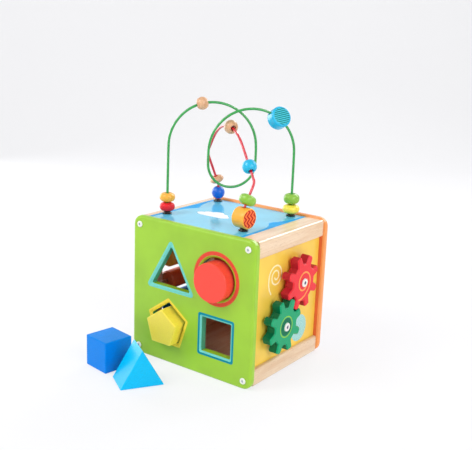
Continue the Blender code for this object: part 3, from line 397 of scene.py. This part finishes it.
LIME = lacquered_board("lime lacquered fibreboard", "9ACA2A", 0.34)
# Painted shade: a darker, bluer copy of the lime lacquer for the side walls of the holes
SHADED_HOLE_GREEN = lacquered_board("bluer green lacquer as painted shade in the holes", "4FAE8A", 0.42)
ORANGE_BOARD = lacquered_board("orange lacquered fibreboard", "F99C4E", 0.34)
# Painted shade: a darker, redder copy of the orange lacquer for the back cover's inner face
SHADED_ORANGE = lacquered_board("orange lacquer darkened as painted shade inside", "EE7244", 0.42)
YELLOW_BOARD = lacquered_board("yellow lacquered fibreboard", "F6CD4B", 0.42)
TEAL_BOARD = lacquered_board("teal lacquered fibreboard", "3E9C92", 0.40)
SKY_BOARD = lacquered_board("glossy sky blue lacquered fibreboard", "6CCFF2", 0.10, coat=0.15, lift=1.03)
# Painted light: the bare inside faces get a very pale pinkish colour, so that the inside of the box looks lit
RAW_BOARD_PAINTED_LIGHT = raw_board("bare fibreboard paled as painted light", "FFCAB8")
BEECH_BEAM = bare_beech("planed beech along the beams", "Y", "F3DBBE", "E2BD95")
BEECH_BEAD = bare_beech("turned natural beech", "Z", "E6B88E", "C68A5A")
WHITE_PLASTIC = moulded_plastic("white moulded polypropylene", "F3F3EE")
BLACK_PLASTIC = moulded_plastic("black moulded polypropylene", "1A1B1D", 0.42, 0.02 * MM)
GREY_RECESS = moulded_plastic("grey recess of a screw cap", "A4AFBE", 0.5)
# Painted shade: the recess in a gear cap is coloured dark blue-grey
SHADED_GEAR_RECESS = moulded_plastic("gear cap recess darkened as painted shade", "3E3C66", 0.5)
RED = painted_wood("red painted beech", "EA2C36", "X", gloss=0.15)
# Painted shade: a darker copy of the red paint for the flanks of the teeth
RED_SHADED_FLANK = painted_wood("red paint darkened as painted shade on the flanks", "C02638", "X", gloss=0.15)
CORAL = painted_wood("coral painted beech", "FC4A3C", "Y")
GREEN = painted_wood("green painted beech", "00A06C", "X", gloss=0.15)
# Painted shade: a darker copy of the green paint for the flanks of the teeth
GREEN_SHADED_FLANK = painted_wood("green paint darkened as painted shade on the flanks", "04734F", "X", gloss=0.15)
LEAF = painted_wood("leaf green painted beech", "8CC040", coat=0.3)
ORANGE = painted_wood("orange painted beech", "FFB440", coat=0.3)
LEMON = painted_wood("lemon painted beech", "FFE44E", "Y", gloss=0.5)
BLUE = painted_wood("blue painted beech", "0084E6", "Y", coat=0.0, gloss=0.12)
DEEP_BLUE = painted_wood("deep blue painted beech", "0464D2", coat=0.3)
CYAN = painted_wood("cyan painted beech", "18B6E0", coat=0.3)
LIGHT_CYAN = painted_wood("light cyan painted beech", "00C0F6", "Y", coat=0.0, gloss=0.2)
RUST = painted_wood("rust red painted beech", "E8724A", "Y")
PURPLE = painted_wood("purple painted beech", "96499E", "Y")
STEEL = drawn_steel("drawn steel rod")
GREEN_WIRE = coated_wire("green vinyl coated wire", "249A42")
RED_WIRE = coated_wire("red vinyl coated wire", "D00A2C")
CORAL_INK = print_ink("coral printed ink", "E2513E")
TEAL_INK = print_ink("teal printed ink", "008AA2")
TURQUOISE_INK = print_ink("turquoise printed ink", "74D0C6")
LEMON_INK = print_ink("lemon printed ink", "F5DC4C")
WAVE_INK = print_ink("wave blue printed ink", "0AA6EC")
CLOUD_INK = print_ink("cloud white printed ink", "F4F8FA")
CREAM_INK = print_ink("cream printed ink", "FBEFC0")
PEACH_INK = print_ink("peach printed ink", "FFA055")
LEAF_INK = print_ink("leaf printed ink", "8CC63E")
FOREST_INK = print_ink("forest printed ink", "0F6E50")
DOTTED_INK = print_ink("pale disc with printed dots", "7CC6C6", "E2F6EE", dots)
ZIGZAG_INK = print_ink("zigzag printed ink", "FF7A44", "BC2A24", zigzags)
STRIPE_INK = print_ink("striped printed ink", "4CCADB", "106C6E", fine_stripes)


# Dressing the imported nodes

def node(name):
    """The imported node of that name."""
    return frame["nodes"][name]


def finish(names, material, smooth=False, thicken=0.0):
    """Give whole nodes a finish.

    Smooth rounds turned pieces further. Thicken rounds a wire and makes up for what the rounding takes off.
    """
    for name in names:
        item = node(name)
        item.data.materials.clear()
        item.data.materials.append(material)
        for face in item.data.polygons:
            face.material_index = 0
        if smooth or thicken:
            item.modifiers.new("join", "WELD").merge_threshold = 1e-6
        if thicken:
            fuller = item.modifiers.new("fuller", "DISPLACE")
            fuller.mid_level = 0.0
            fuller.strength = thicken
        if smooth or thicken:
            rounding = item.modifiers.new("round", "SUBSURF")
            rounding.levels = 2
            rounding.render_levels = 2


def finish_faces(name, material, wanted):
    """Give the faces of a node that pass a test a second finish."""
    item = node(name)
    item.data.materials.append(material)
    index = len(item.data.materials) - 1
    for face in item.data.polygons:
        if wanted(face.center, face.normal):
            face.material_index = index


def among_holes(place):
    """Whether a place on the front cover is in the field of the sorting holes, clear of the cover's edges."""
    field_side = 72 * MM
    field_low = 8 * MM
    field_high = 148 * MM
    return abs(place.x) < field_side and field_low < place.z < field_high


def hole_rim(material, x, z):
    """Colour the slanting rim of the sorting hole of the front cover whose middle is at x, z."""
    reach = 36 * MM
    rim_depth = 1.2 * MM

    def on_rim(centre, normal):
        slanting = -0.97 < normal.y < -0.2 and FRONT < centre.y < FRONT + rim_depth
        return slanting and among_holes(centre) and math.hypot(centre.x - x, centre.z - z) < reach
    finish_faces("front_cover", material, on_rim)


def hole_walls(material):
    """Colour the side walls of the sorting holes, as painted shade; the walls that look up stay as they are.
    """
    finish_faces("front_cover", material, lambda centre, normal: (
        among_holes(centre) and abs(normal.y) < 0.2 and normal.z < 0.9))


def inner_face(name, direction, material):
    """Colour the inner face of a board; direction is the way that the face looks."""
    face_depth = 0.2 * MM
    reach = max(v.co.dot(direction) for v in node(name).data.vertices)
    finish_faces(name, material, lambda centre, normal: (
        normal.dot(direction) > 0.9 and centre.dot(direction) > reach - face_depth))


WIRE_ROUNDING_LOSS = 0.14 * MM

finish(["front_cover"], LIME)
finish(["back_cover"], ORANGE_BOARD)
finish(["right_panel"], YELLOW_BOARD)
finish(["left_panel"], TEAL_BOARD)
finish(["top_board"], SKY_BOARD)
finish(["base_board", "top_left_beam", "top_right_beam", "bottom_left_beam", "bottom_right_beam"], BEECH_BEAM)
finish(["red_gear"], RED)
finish(["green_gear"], GREEN)
# Painted shade: the flanks of the teeth get a darker copy of each gear's paint
for gear, flank in (("red_gear", RED_SHADED_FLANK), ("green_gear", GREEN_SHADED_FLANK)):
    finish_faces(gear, flank, lambda centre, normal: abs(normal.x) < 0.2)
finish([name for name in frame["nodes"] if name.endswith("_washer")], WHITE_PLASTIC)
finish(["top_roller_axle", "middle_roller_axle", "bottom_roller_axle"], STEEL)
finish(["orange_roller"], ORANGE)
finish(["red_roller"], RUST)
finish(["natural_roller"], BEECH_BEAM)
finish(["blue_roller"], BLUE)
finish(["purple_wheel"], PURPLE)
finish(["yellow_maze_knob", "pentagon_block"], LEMON)
finish(["green_maze_knob"], LEAF)
finish(["blue_maze_knob", "cube_block"], BLUE)
finish(["cylinder_block"], CORAL)
finish(["triangle_block"], LIGHT_CYAN)
finish(["green_wire"], GREEN_WIRE, thicken=WIRE_ROUNDING_LOSS)
finish(["red_wire"], RED_WIRE, thicken=WIRE_ROUNDING_LOSS)
finish(["red_bead"], RED, smooth=True)
finish(["orange_bead"], ORANGE, smooth=True)
finish(["yellow_bead"], LEMON, smooth=True)
finish(["green_bead", "oval_bead"], LEAF, smooth=True)
finish(["blue_ball"], DEEP_BLUE, smooth=True)
finish(["cyan_bead"], CYAN, smooth=True)
finish(["wood_disc", "wood_ball", "wood_ball_red_wire"], BEECH_BEAD, smooth=True)

# Middles of the sorting holes
TRIANGLE_AT = (-27.6 * MM, 100.0 * MM)
CIRCLE_AT = (32.8 * MM, 108.3 * MM)
PENTAGON_AT = (-29.6 * MM, 44.4 * MM)
SQUARE_AT = (34.2 * MM, 45.5 * MM)
hole_rim(TURQUOISE_INK, *TRIANGLE_AT)
hole_rim(LEMON_INK, *PENTAGON_AT)
hole_rim(TURQUOISE_INK, *SQUARE_AT)
# Painted shade: the side walls of the holes get a darker, bluer green than the lime cover
hole_walls(SHADED_HOLE_GREEN)
# Painted light on the bare inner faces: their pale colour stands in for light inside the box
inner_face("front_cover", Vector((0, 1, 0)), RAW_BOARD_PAINTED_LIGHT)
# Painted shade: the back cover's inner face gets the darker copy of its orange lacquer
inner_face("back_cover", Vector((0, -1, 0)), SHADED_ORANGE)
inner_face("right_panel", Vector((-1, 0, 0)), RAW_BOARD_PAINTED_LIGHT)
inner_face("left_panel", Vector((1, 0, 0)), RAW_BOARD_PAINTED_LIGHT)
inner_face("top_board", Vector((0, 0, -1)), RAW_BOARD_PAINTED_LIGHT)


# Screw caps, feet and drums

def closed_mesh(name, shape, materials):
    """A mesh object from a bmesh, with its normals made to look outwards."""
    bmesh.ops.recalc_face_normals(shape, faces=shape.faces[:])
    data = bpy.data.meshes.new(name)
    shape.to_mesh(data)
    shape.free()
    for material in materials:
        data.materials.append(material)
    data.shade_smooth()
    data.set_sharp_from_angle(angle=math.radians(SHARP_ANGLE))
    item = bpy.data.objects.new(name, data)
    bpy.context.scene.collection.objects.link(item)
    return item


def turned(profile, sides, marked=()):
    """A body turned about local Z; profile is (radius, height) from one end of the axis to the other.

    The bands whose numbers are in marked get the second material.
    """
    shape = bmesh.new()
    rings = []
    for radius, height in profile:
        if radius == 0:
            rings.append([shape.verts.new((0, 0, height))] * sides)
            continue
        angles = [2 * math.pi * i / sides for i in range(sides)]
        rings.append([shape.verts.new((radius * math.cos(a), radius * math.sin(a), height)) for a in angles])
    for number, (low, high) in enumerate(zip(rings, rings[1:])):
        for i in range(sides):
            j = (i + 1) % sides
            corners = list(dict.fromkeys((low[i], low[j], high[j], high[i])))
            shape.faces.new(corners).material_index = int(number in marked)
    return shape


def stand(item, place, direction, side=None):
    """Put a piece at a place with its Z along a direction and, if given, its Y near side."""
    z = Vector(direction).normalized()
    if side is None:
        turn = z.to_track_quat("Z", "Y").to_matrix()
    else:
        x = Vector(side).cross(z).normalized()
        turn = Matrix((x, z.cross(x), z)).transposed()
    item.matrix_world = Matrix.Translation(place) @ turn.to_4x4()
    return item


def screw_cap(name, direction, head_height, recess, hollow):
    """A screw with a white head that has a round recess of another colour in its middle."""
    small_head = 4 * MM
    thin_shank = 1.5 * MM
    thick_shank = 2.0 * MM
    recess_depth = 0.7 * MM
    sides = 36
    low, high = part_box(name)
    z = Vector(direction)
    ends = sorted((low.dot(z), high.dot(z)))
    middle = (low + high) / 2
    radius = sorted(high - low)[0] / 2
    length = ends[1] - ends[0] - head_height
    shank = thin_shank if radius < small_head else thick_shank
    profile = [
        (0, head_height - recess_depth),
        (recess, head_height - recess_depth),
        (recess + 0.15 * MM, head_height - 0.1 * MM),
        (recess + 0.4 * MM, head_height),
        (radius - 0.9 * MM, head_height),
        (radius - 0.3 * MM, head_height - 0.3 * MM),
        (radius, head_height - 0.8 * MM),
        (radius, 0),
        (shank, 0),
        (shank, -length),
        (0, -length),
    ]
    item = closed_mesh("cap_" + name, turned(profile, sides, marked=(0,)), [WHITE_PLASTIC, hollow])
    stand(item, middle + z * (ends[1] - head_height - middle.dot(z)), z)
    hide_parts(name)
    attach(item, "box")


COVER_HEAD = 1.3 * MM
COVER_RECESS = 1.35 * MM
GEAR_HEAD = 1.6 * MM
GEAR_RECESS = 2.0 * MM
for place in ("top_left", "top_right", "bottom_left", "bottom_right"):
    screw_cap("front_screw_" + place, (0, -1, 0), COVER_HEAD, COVER_RECESS, GREY_RECESS)
    screw_cap("back_screw_" + place, (0, 1, 0), COVER_HEAD, COVER_RECESS, GREY_RECESS)
# The gear caps' recesses carry painted shade in their dark colour
screw_cap("red_gear_screw", (1, 0, 0), GEAR_HEAD, GEAR_RECESS, SHADED_GEAR_RECESS)
screw_cap("green_gear_screw", (1, 0, 0), GEAR_HEAD, GEAR_RECESS, SHADED_GEAR_RECESS)
screw_cap("purple_wheel_screw", (0, 1, 0), GEAR_HEAD, GEAR_RECESS, GREY_RECESS)


def notched_foot(name):
    """A black collar round the end of a wire, whose flared skirt stands on eight toes."""
    bore = 1.5 * MM
    sides = 32
    sides_per_toe = 4
    low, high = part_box(name)
    outer = (high.x - low.x) / 2
    height = high.z - low.z
    notch = height * 0.42
    # Radius, height over a notch and height over a toe
    profile = [
        (bore, height, height),
        (outer * 0.70, height, height),
        (outer * 0.80, height * 0.6, height * 0.6),
        (outer, notch, 0),
        (bore, notch, 0),
    ]
    shape = bmesh.new()
    rings = []
    for radius, over_notch, over_toe in profile:
        ring = []
        for i in range(sides):
            a = 2 * math.pi * i / sides
            z = over_toe if i % sides_per_toe < sides_per_toe / 2 else over_notch
            ring.append(shape.verts.new((radius * math.cos(a), radius * math.sin(a), z)))
        rings.append(ring)
    for lower, upper in zip(rings, rings[1:] + rings[:1]):
        for i in range(sides):
            j = (i + 1) % sides
            shape.faces.new((lower[i], lower[j], upper[j], upper[i]))
    item = closed_mesh("notched_" + name, shape, [BLACK_PLASTIC])
    item.location = ((low.x + high.x) / 2, (low.y + high.y) / 2, low.z)
    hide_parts(name)
    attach(item, "box")


for letter in "abcd":
    notched_foot("wire_foot_" + letter)


def flat_end(name, towards):
    """The middle of a drum, the way out of its end that looks most towards a side, and half its length."""
    areas = {}
    for face in node(name).data.polygons:
        key = tuple(round(c, 2) for c in face.normal)
        areas[key] = areas.get(key, 0) + face.area
    ends = sorted(areas, key=areas.get, reverse=True)[:2]
    normal = Vector(max(ends, key=lambda n: Vector(n).dot(Vector(towards)))).normalized()
    low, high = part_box(name)
    centre = (low + high) / 2
    reach = max((v.co - centre).dot(normal) for v in node(name).data.vertices)
    return centre, normal, reach


def drum(name, body, paint, ink, bore_direction, bore_radius, radius, edge, side):
    """A barrel with round edges and a printed disc on each end, bored across for its wire."""
    centre, axis, half = flat_end(name, (1, 0, 0))
    steps = 5
    sides = 64
    bore_sides = 32
    rounding = []
    for i in range(steps):
        a = math.radians(90 * i / steps)
        rounding.append((radius - edge + edge * math.cos(a), half - edge + edge * math.sin(a)))
    upper = [(radius - 0.1 * MM, half * 0.45)] + rounding + [(radius - edge, half), (0, half)]
    lower = [(r, -h) for r, h in reversed(upper)]
    profile = lower + [(radius, 0)] + upper
    shape = turned(profile, sides, marked=(0, len(profile) - 2))
    item = stand(closed_mesh("printed_" + name, shape, [paint, ink]), centre, axis, side)
    bar = closed_mesh("bar", turned([(0, -1), (1, -1), (1, 1), (0, 1)], bore_sides), [paint])
    stand(bar, centre, bore_direction)
    bar.scale = (bore_radius, bore_radius, radius * 2)
    cut = item.modifiers.new("bore", "BOOLEAN")
    cut.operation = "DIFFERENCE"
    cut.solver = "EXACT"
    cut.object = bar
    bpy.context.view_layer.update()
    bored = bpy.data.meshes.new_from_object(item.evaluated_get(bpy.context.evaluated_depsgraph_get()))
    item.modifiers.clear()
    item.data = bored
    bpy.data.objects.remove(bar)
    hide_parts(name)
    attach(item, body)


arch = next(joint for joint in frame["joints"] if joint["name"] == "cyan_drum_along_arch")
low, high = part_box("cyan_drum")
along_wire = Vector(arch["axis"]).cross((low + high) / 2 - Vector(arch["pos_m"]))
drum("orange_drum", "orange_drum_body", ORANGE, ZIGZAG_INK, bore_direction=(0, 0, 1),
     bore_radius=2.3 * MM, radius=10.9 * MM, edge=1.5 * MM, side=(0, 0, 1))
drum("cyan_drum", "cyan_drum_body", CYAN, STRIPE_INK, bore_direction=along_wire,
     bore_radius=3.5 * MM, radius=11.4 * MM, edge=2.2 * MM, side=(0, 0.25, 1))


# Outlines of the prints, in millimetres about their middle

def circle(radius):
    """Points round a circle."""
    steps = 64
    turn = math.radians(360) / steps
    return [(radius * math.cos(turn * i), radius * math.sin(turn * i)) for i in range(steps)]


def square(side):
    """Corners of a square."""
    half = side / 2
    return [(-half, -half), (half, -half), (half, half), (-half, half)]


def even_polygon(radius, corners):
    """A polygon of equal sides with one corner up."""
    angles = [math.radians(90 + 360 * i / corners) for i in range(corners)]
    return [(radius * math.cos(a), radius * math.sin(a)) for a in angles]


def rounded(corners, radius):
    """A polygon, listed anticlockwise, with its corners rounded."""
    steps = 6
    points = []
    for i, corner in enumerate(corners):
        here = Vector(corner)
        back = (Vector(corners[i - 1]) - here).normalized()
        ahead = (Vector(corners[(i + 1) % len(corners)]) - here).normalized()
        half = back.angle(ahead) / 2
        centre = here + (back + ahead).normalized() * radius / math.sin(half)
        first = here + back * radius / math.tan(half)
        last = here + ahead * radius / math.tan(half)
        a = math.atan2(first.y - centre.y, first.x - centre.x)
        b = math.atan2(last.y - centre.y, last.x - centre.x)
        sweep = (b - a + math.pi) % (2 * math.pi) - math.pi
        for k in range(steps + 1):
            t = a + sweep * k / steps
            points.append((centre.x + radius * math.cos(t), centre.y + radius * math.sin(t)))
    return points


def spiral(first, sweep, inner, outer, tail):
    """A line that winds outwards from an angle through a sweep in degrees, with extra points at its end."""
    count = int(abs(sweep) / 10)
    line = []
    for i in range(count + 1):
        a = math.radians(first + sweep * i / count)
        r = inner + (outer - inner) * i / count
        line.append((r * math.cos(a), r * math.sin(a)))
    return line + tail


def brush_stroke(line, width):
    """The outline of a band of even width along a line, with round ends."""
    left, right = [], []
    for i, point in enumerate(line):
        before = Vector(line[max(i - 1, 0)])
        after = Vector(line[min(i + 1, len(line) - 1)])
        forward = (after - before).normalized()
        across = Vector((-forward.y, forward.x)) * width / 2
        left.append(Vector(point) + across)
        right.append(Vector(point) - across)
    ends = []
    for centre, first in ((line[-1], left[-1]), (line[0], right[0])):
        spoke = first - Vector(centre)
        ends.append([Vector(centre) + Matrix.Rotation(-math.radians(30 * k), 2) @ spoke for k in range(1, 6)])
    return [tuple(p) for p in left + ends[0] + right[::-1] + ends[1]]


def wave_band(side):
    """A band along one edge of the top board that swells into rolling waves; side is 1 right, -1 left."""
    inset = 0.4
    end_gap = 1
    plain_width = 3.6
    swell_height = 7.0
    roll_height = 3.0
    swell_middle = 12
    swell_width = 15
    roll_length = 4.6
    steps = 60
    low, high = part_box("top_board")
    edge = (high.x if side > 0 else low.x) / MM - side * inset
    near = low.y / MM + end_gap
    far = high.y / MM - end_gap
    points = [(edge, near), (edge, far)]
    for i in range(steps + 1):
        y = far + (near - far) * i / steps
        swell = math.exp(-((y - swell_middle) / swell_width) ** 2)
        roll = 0.5 + 0.5 * math.sin(y / roll_length)
        width = plain_width + swell_height * swell + roll_height * roll * swell
        points.append((edge - side * width, y))
    return points


def cloud(size):
    """A cloud with a level foot and five round puffs; size is a factor."""
    puffs = ((-15, 0, 5.5), (-9, 4.5, 6.5), (0, 7, 8), (9, 4, 6.5), (15, 0, 5))
    foot = [(18, -2.5), (14, -5), (-14, -5), (-18, -2.5)]
    least_reach = 6
    steps = 120
    points = []
    for i in range(steps + 1):
        a = math.radians(180 - 180 * i / steps)
        ray = Vector((math.cos(a), math.sin(a)))
        reach = least_reach
        for x, y, r in puffs:
            forward = ray.dot((x, y))
            off = Vector((x, y)).length_squared - forward ** 2
            if off < r * r:
                reach = max(reach, forward + math.sqrt(r * r - off))
        points.append(tuple(ray * reach))
    return [(x * size, y * size) for x, y in points + foot]


# Prints

# From each face's own plane, x to its right, y up and z outwards, to the part's frame
FACES = {
    "front": Matrix(((1, 0, 0, 0), (0, 0, -1, FRONT), (0, 1, 0, 0), (0, 0, 0, 1))),
    "right": Matrix(((0, 0, 1, PANEL), (1, 0, 0, 0), (0, 1, 0, 0), (0, 0, 0, 1))),
    "gear": Matrix(((0, 0, 1, GEAR_FACE), (1, 0, 0, 0), (0, 1, 0, 0), (0, 0, 0, 1))),
    "top": Matrix.Translation((0, 0, DECK)),
}


def printed(name, face, middle, outlines, ink, body="box"):
    """A thin layer of ink on a flat face about a middle in metres; an outline inside another stays bare."""
    flat = bpy.data.curves.new(name, "CURVE")
    flat.dimensions = "2D"
    flat.fill_mode = "BOTH"
    flat.extrude = INK_HEIGHT / 2
    for outline in outlines:
        line = flat.splines.new("POLY")
        line.points.add(len(outline) - 1)
        for point, (x, y) in zip(line.points, outline):
            point.co = (middle[0] + x * MM, middle[1] + y * MM, 0, 1)
        line.use_cyclic_u = True
    shape = bpy.data.objects.new(name, flat)
    bpy.context.scene.collection.objects.link(shape)
    bpy.context.view_layer.update()
    data = bpy.data.meshes.new_from_object(shape.evaluated_get(bpy.context.evaluated_depsgraph_get()))
    bpy.data.objects.remove(shape)
    layer = bmesh.new()
    layer.from_mesh(data)
    bmesh.ops.remove_doubles(layer, verts=layer.verts[:], dist=1e-6)
    item = closed_mesh(name, layer, [ink])
    item.matrix_world = FACES[face] @ Matrix.Translation((0, 0, INK_HEIGHT / 2))
    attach(item, body)


def on_gear_face(name):
    """The middle of a screw's box as (y, z)."""
    low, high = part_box(name)
    return (low.y + high.y) / 2, (low.z + high.z) / 2


# Rings round the four sorting holes, each an outer and an inner outline
TRIANGLE_REACH = 1 / math.sqrt(3)  # from the middle of a triangle of side 1 to a corner
printed("circle_ring", "front", CIRCLE_AT, [circle(28.8), circle(24.7)], CORAL_INK)
printed("square_ring", "front", SQUARE_AT, [rounded(square(46.2), 2.6), rounded(square(41.4), 1.8)],
        TEAL_INK)
printed("triangle_ring", "front", TRIANGLE_AT, [rounded(even_polygon(66.5 * TRIANGLE_REACH, 3), 3.0),
                                                rounded(even_polygon(59.4 * TRIANGLE_REACH, 3), 1.8)],
        TURQUOISE_INK)
printed("pentagon_ring", "front", PENTAGON_AT, [rounded(even_polygon(28.9, 5), 2.0),
                                                rounded(even_polygon(26.4, 5), 1.6)],
        LEMON_INK)

# Spiral and dotted disc on the yellow panel
LINE_WIDTH = 1.7
PANEL_SPIRAL_AT = (-22.6 * MM, 109.6 * MM)
DOTTED_DISC_AT = (28.0 * MM, 38.5 * MM)
panel_line = spiral(first=-150, sweep=690, inner=2.6, outer=12.8,
                    tail=[(-13.0, -6.5), (-11.4, -12.5), (-8.0, -17.6)])
printed("panel_spiral", "right", PANEL_SPIRAL_AT, [brush_stroke(panel_line, LINE_WIDTH)],
        CREAM_INK)
printed("dotted_disc", "right", DOTTED_DISC_AT, [circle(15.0)], DOTTED_INK)

# Painted lines on the gears
red_middle = on_gear_face("red_gear_screw")
green_middle = on_gear_face("green_gear_screw")
red_line = spiral(first=20, sweep=-440, inner=6.4, outer=13.4,
                  tail=[(2.6, -15.0), (-3.6, -17.2), (-8.4, -17.4)])
printed("red_gear_spiral", "gear", red_middle, [brush_stroke(red_line, LINE_WIDTH)],
        PEACH_INK, "red_gear_body")
printed("green_gear_ring", "gear", green_middle, [circle(11.6), circle(10.4)],
        LEAF_INK, "green_gear_body")
printed("green_gear_disc", "gear", green_middle, [circle(9.6), circle(5.2)],
        FOREST_INK, "green_gear_body")

# Waves and cloud on the top board
CLOUD_AT = (-22 * MM, -7 * MM)
printed("right_waves", "top", (0, 0), [wave_band(1)], WAVE_INK)
printed("left_waves", "top", (0, 0), [wave_band(-1)], WAVE_INK)
printed("cloud", "top", CLOUD_AT, [cloud(1.05)], CLOUD_INK)


# Studio

def shown_share(tree, share):
    """The share for rays from the camera, a gloss or a clear piece, and 0 for the light on the object."""
    path = add(tree, "LightPath").outputs
    seen = add(tree, "Math", (path["Is Camera Ray"], path["Is Glossy Ray"]), operation="MAXIMUM")
    seen = add(tree, "Math", (seen, path["Is Transmission Ray"]), operation="MAXIMUM")
    return add(tree, "Math", (seen, share), operation="MULTIPLY")


def studio_paper():
    """Matt white paper, lit by the lamps and, where it is seen, made paler still; it keeps the shadow."""
    made, tree, metres = new_material("pale studio paper")
    fibre_mm = 1.5
    paler_share = 0.72
    place = add(tree, "Mapping", {"Vector": metres, "Scale": MILLIMETRES})
    fibres = add(tree, "TexNoise", {"Vector": place, "Scale": 1 / fibre_mm, "Detail": 3})
    tone = add(tree, "Mix", {SHARE: fibres, FIRST: srgb("F8F8FA"), SECOND: srgb("FCFCFE")}, data_type="RGBA")
    shader = add(tree, "BsdfPrincipled", {"Base Color": tone, "Roughness": 0.85})
    glow = add(tree, "Emission", {"Color": tone, "Strength": 1.0})
    paper = add(tree, "MixShader", (shown_share(tree, paler_share), shader, glow))
    add(tree, "OutputMaterial", {"Surface": paper})
    return made


def floor():
    """A pale floor that rises into a backdrop behind the cube, turned to face the camera."""
    half_width = 2.5
    front = -2.5
    back = 1.2
    bend = 0.6
    rise = 2.0
    steps = 12
    facing = 36
    shape = bmesh.new()
    profile = [(front, 0.0)]
    for i in range(steps + 1):
        angle = math.radians(90 * i / steps)
        profile.append((back + bend * math.sin(angle), bend * (1 - math.cos(angle))))
    profile.append((back + bend, rise))
    rows = [[shape.verts.new((x, y, z)) for y, z in profile] for x in (-half_width, half_width)]
    for i in range(len(profile) - 1):
        shape.faces.new((rows[0][i], rows[1][i], rows[1][i + 1], rows[0][i + 1]))
    data = bpy.data.meshes.new("studio_floor")
    shape.to_mesh(data)
    shape.free()
    data.shade_smooth()
    data.materials.append(studio_paper())
    item = bpy.data.objects.new("studio_floor", data)
    bpy.context.scene.collection.objects.link(item)
    item.rotation_euler = (0, 0, math.radians(facing))


def area_light(name, place, target_height, size, watts):
    """A soft square light that looks at a point over the middle of the floor."""
    data = bpy.data.lights.new(name, "AREA")
    data.size = size
    data.energy = watts
    item = bpy.data.objects.new(name, data)
    bpy.context.scene.collection.objects.link(item)
    item.location = place
    item.rotation_euler = (Vector((0, 0, target_height)) - Vector(place)).to_track_quat("-Z", "Y").to_euler()


def world():
    """Even white light from all round, paler where it is seen."""
    light = 0.38
    paler_share = 0.56
    made = bpy.data.worlds.new("studio")
    made.use_nodes = True
    tree = made.node_tree
    tree.nodes.clear()
    strength = add(tree, "Math", (shown_share(tree, paler_share), light), operation="ADD")
    glow = add(tree, "Background", {"Color": srgb("FFFFFF"), "Strength": strength})
    add(tree, "OutputWorld", {"Surface": glow})
    bpy.context.scene.world = made


def camera():
    """The photo's view: from the front right, a little above."""
    place = (0.49304, -0.67763, 0.36239)
    picture_right = (0.805, 0.59204, 0.03823)
    picture_up = (-0.17812, 0.17971, 0.96746)
    data = bpy.data.cameras.new("camera")
    data.lens = 61.03
    data.sensor_width = 36.0
    data.sensor_fit = "HORIZONTAL"
    data.clip_start = 0.01
    item = bpy.data.objects.new("camera", data)
    bpy.context.scene.collection.objects.link(item)
    right = Vector(picture_right).normalized()
    back = right.cross(Vector(picture_up)).normalized()
    up = back.cross(right)
    turn = Matrix((right, up, back)).transposed().to_4x4()
    item.matrix_world = Matrix.Translation(place) @ turn
    bpy.context.scene.camera = item


floor()
area_light("key", (-0.62, -1.05, 1.15), target_height=0.10, size=0.8, watts=13)
area_light("right fill", (1.15, -0.35, 0.75), target_height=0.10, size=0.9, watts=9)
area_light("left", (-1.15, 0.12, 0.32), target_height=0.10, size=0.7, watts=6)
area_light("back right", (0.40, 1.20, 0.95), target_height=0.12, size=0.35, watts=4)
area_light("back left", (-0.21, 1.10, 0.93), target_height=0.12, size=0.35, watts=4)
world()
camera()

bpy.context.scene.view_settings.view_transform = "Standard"
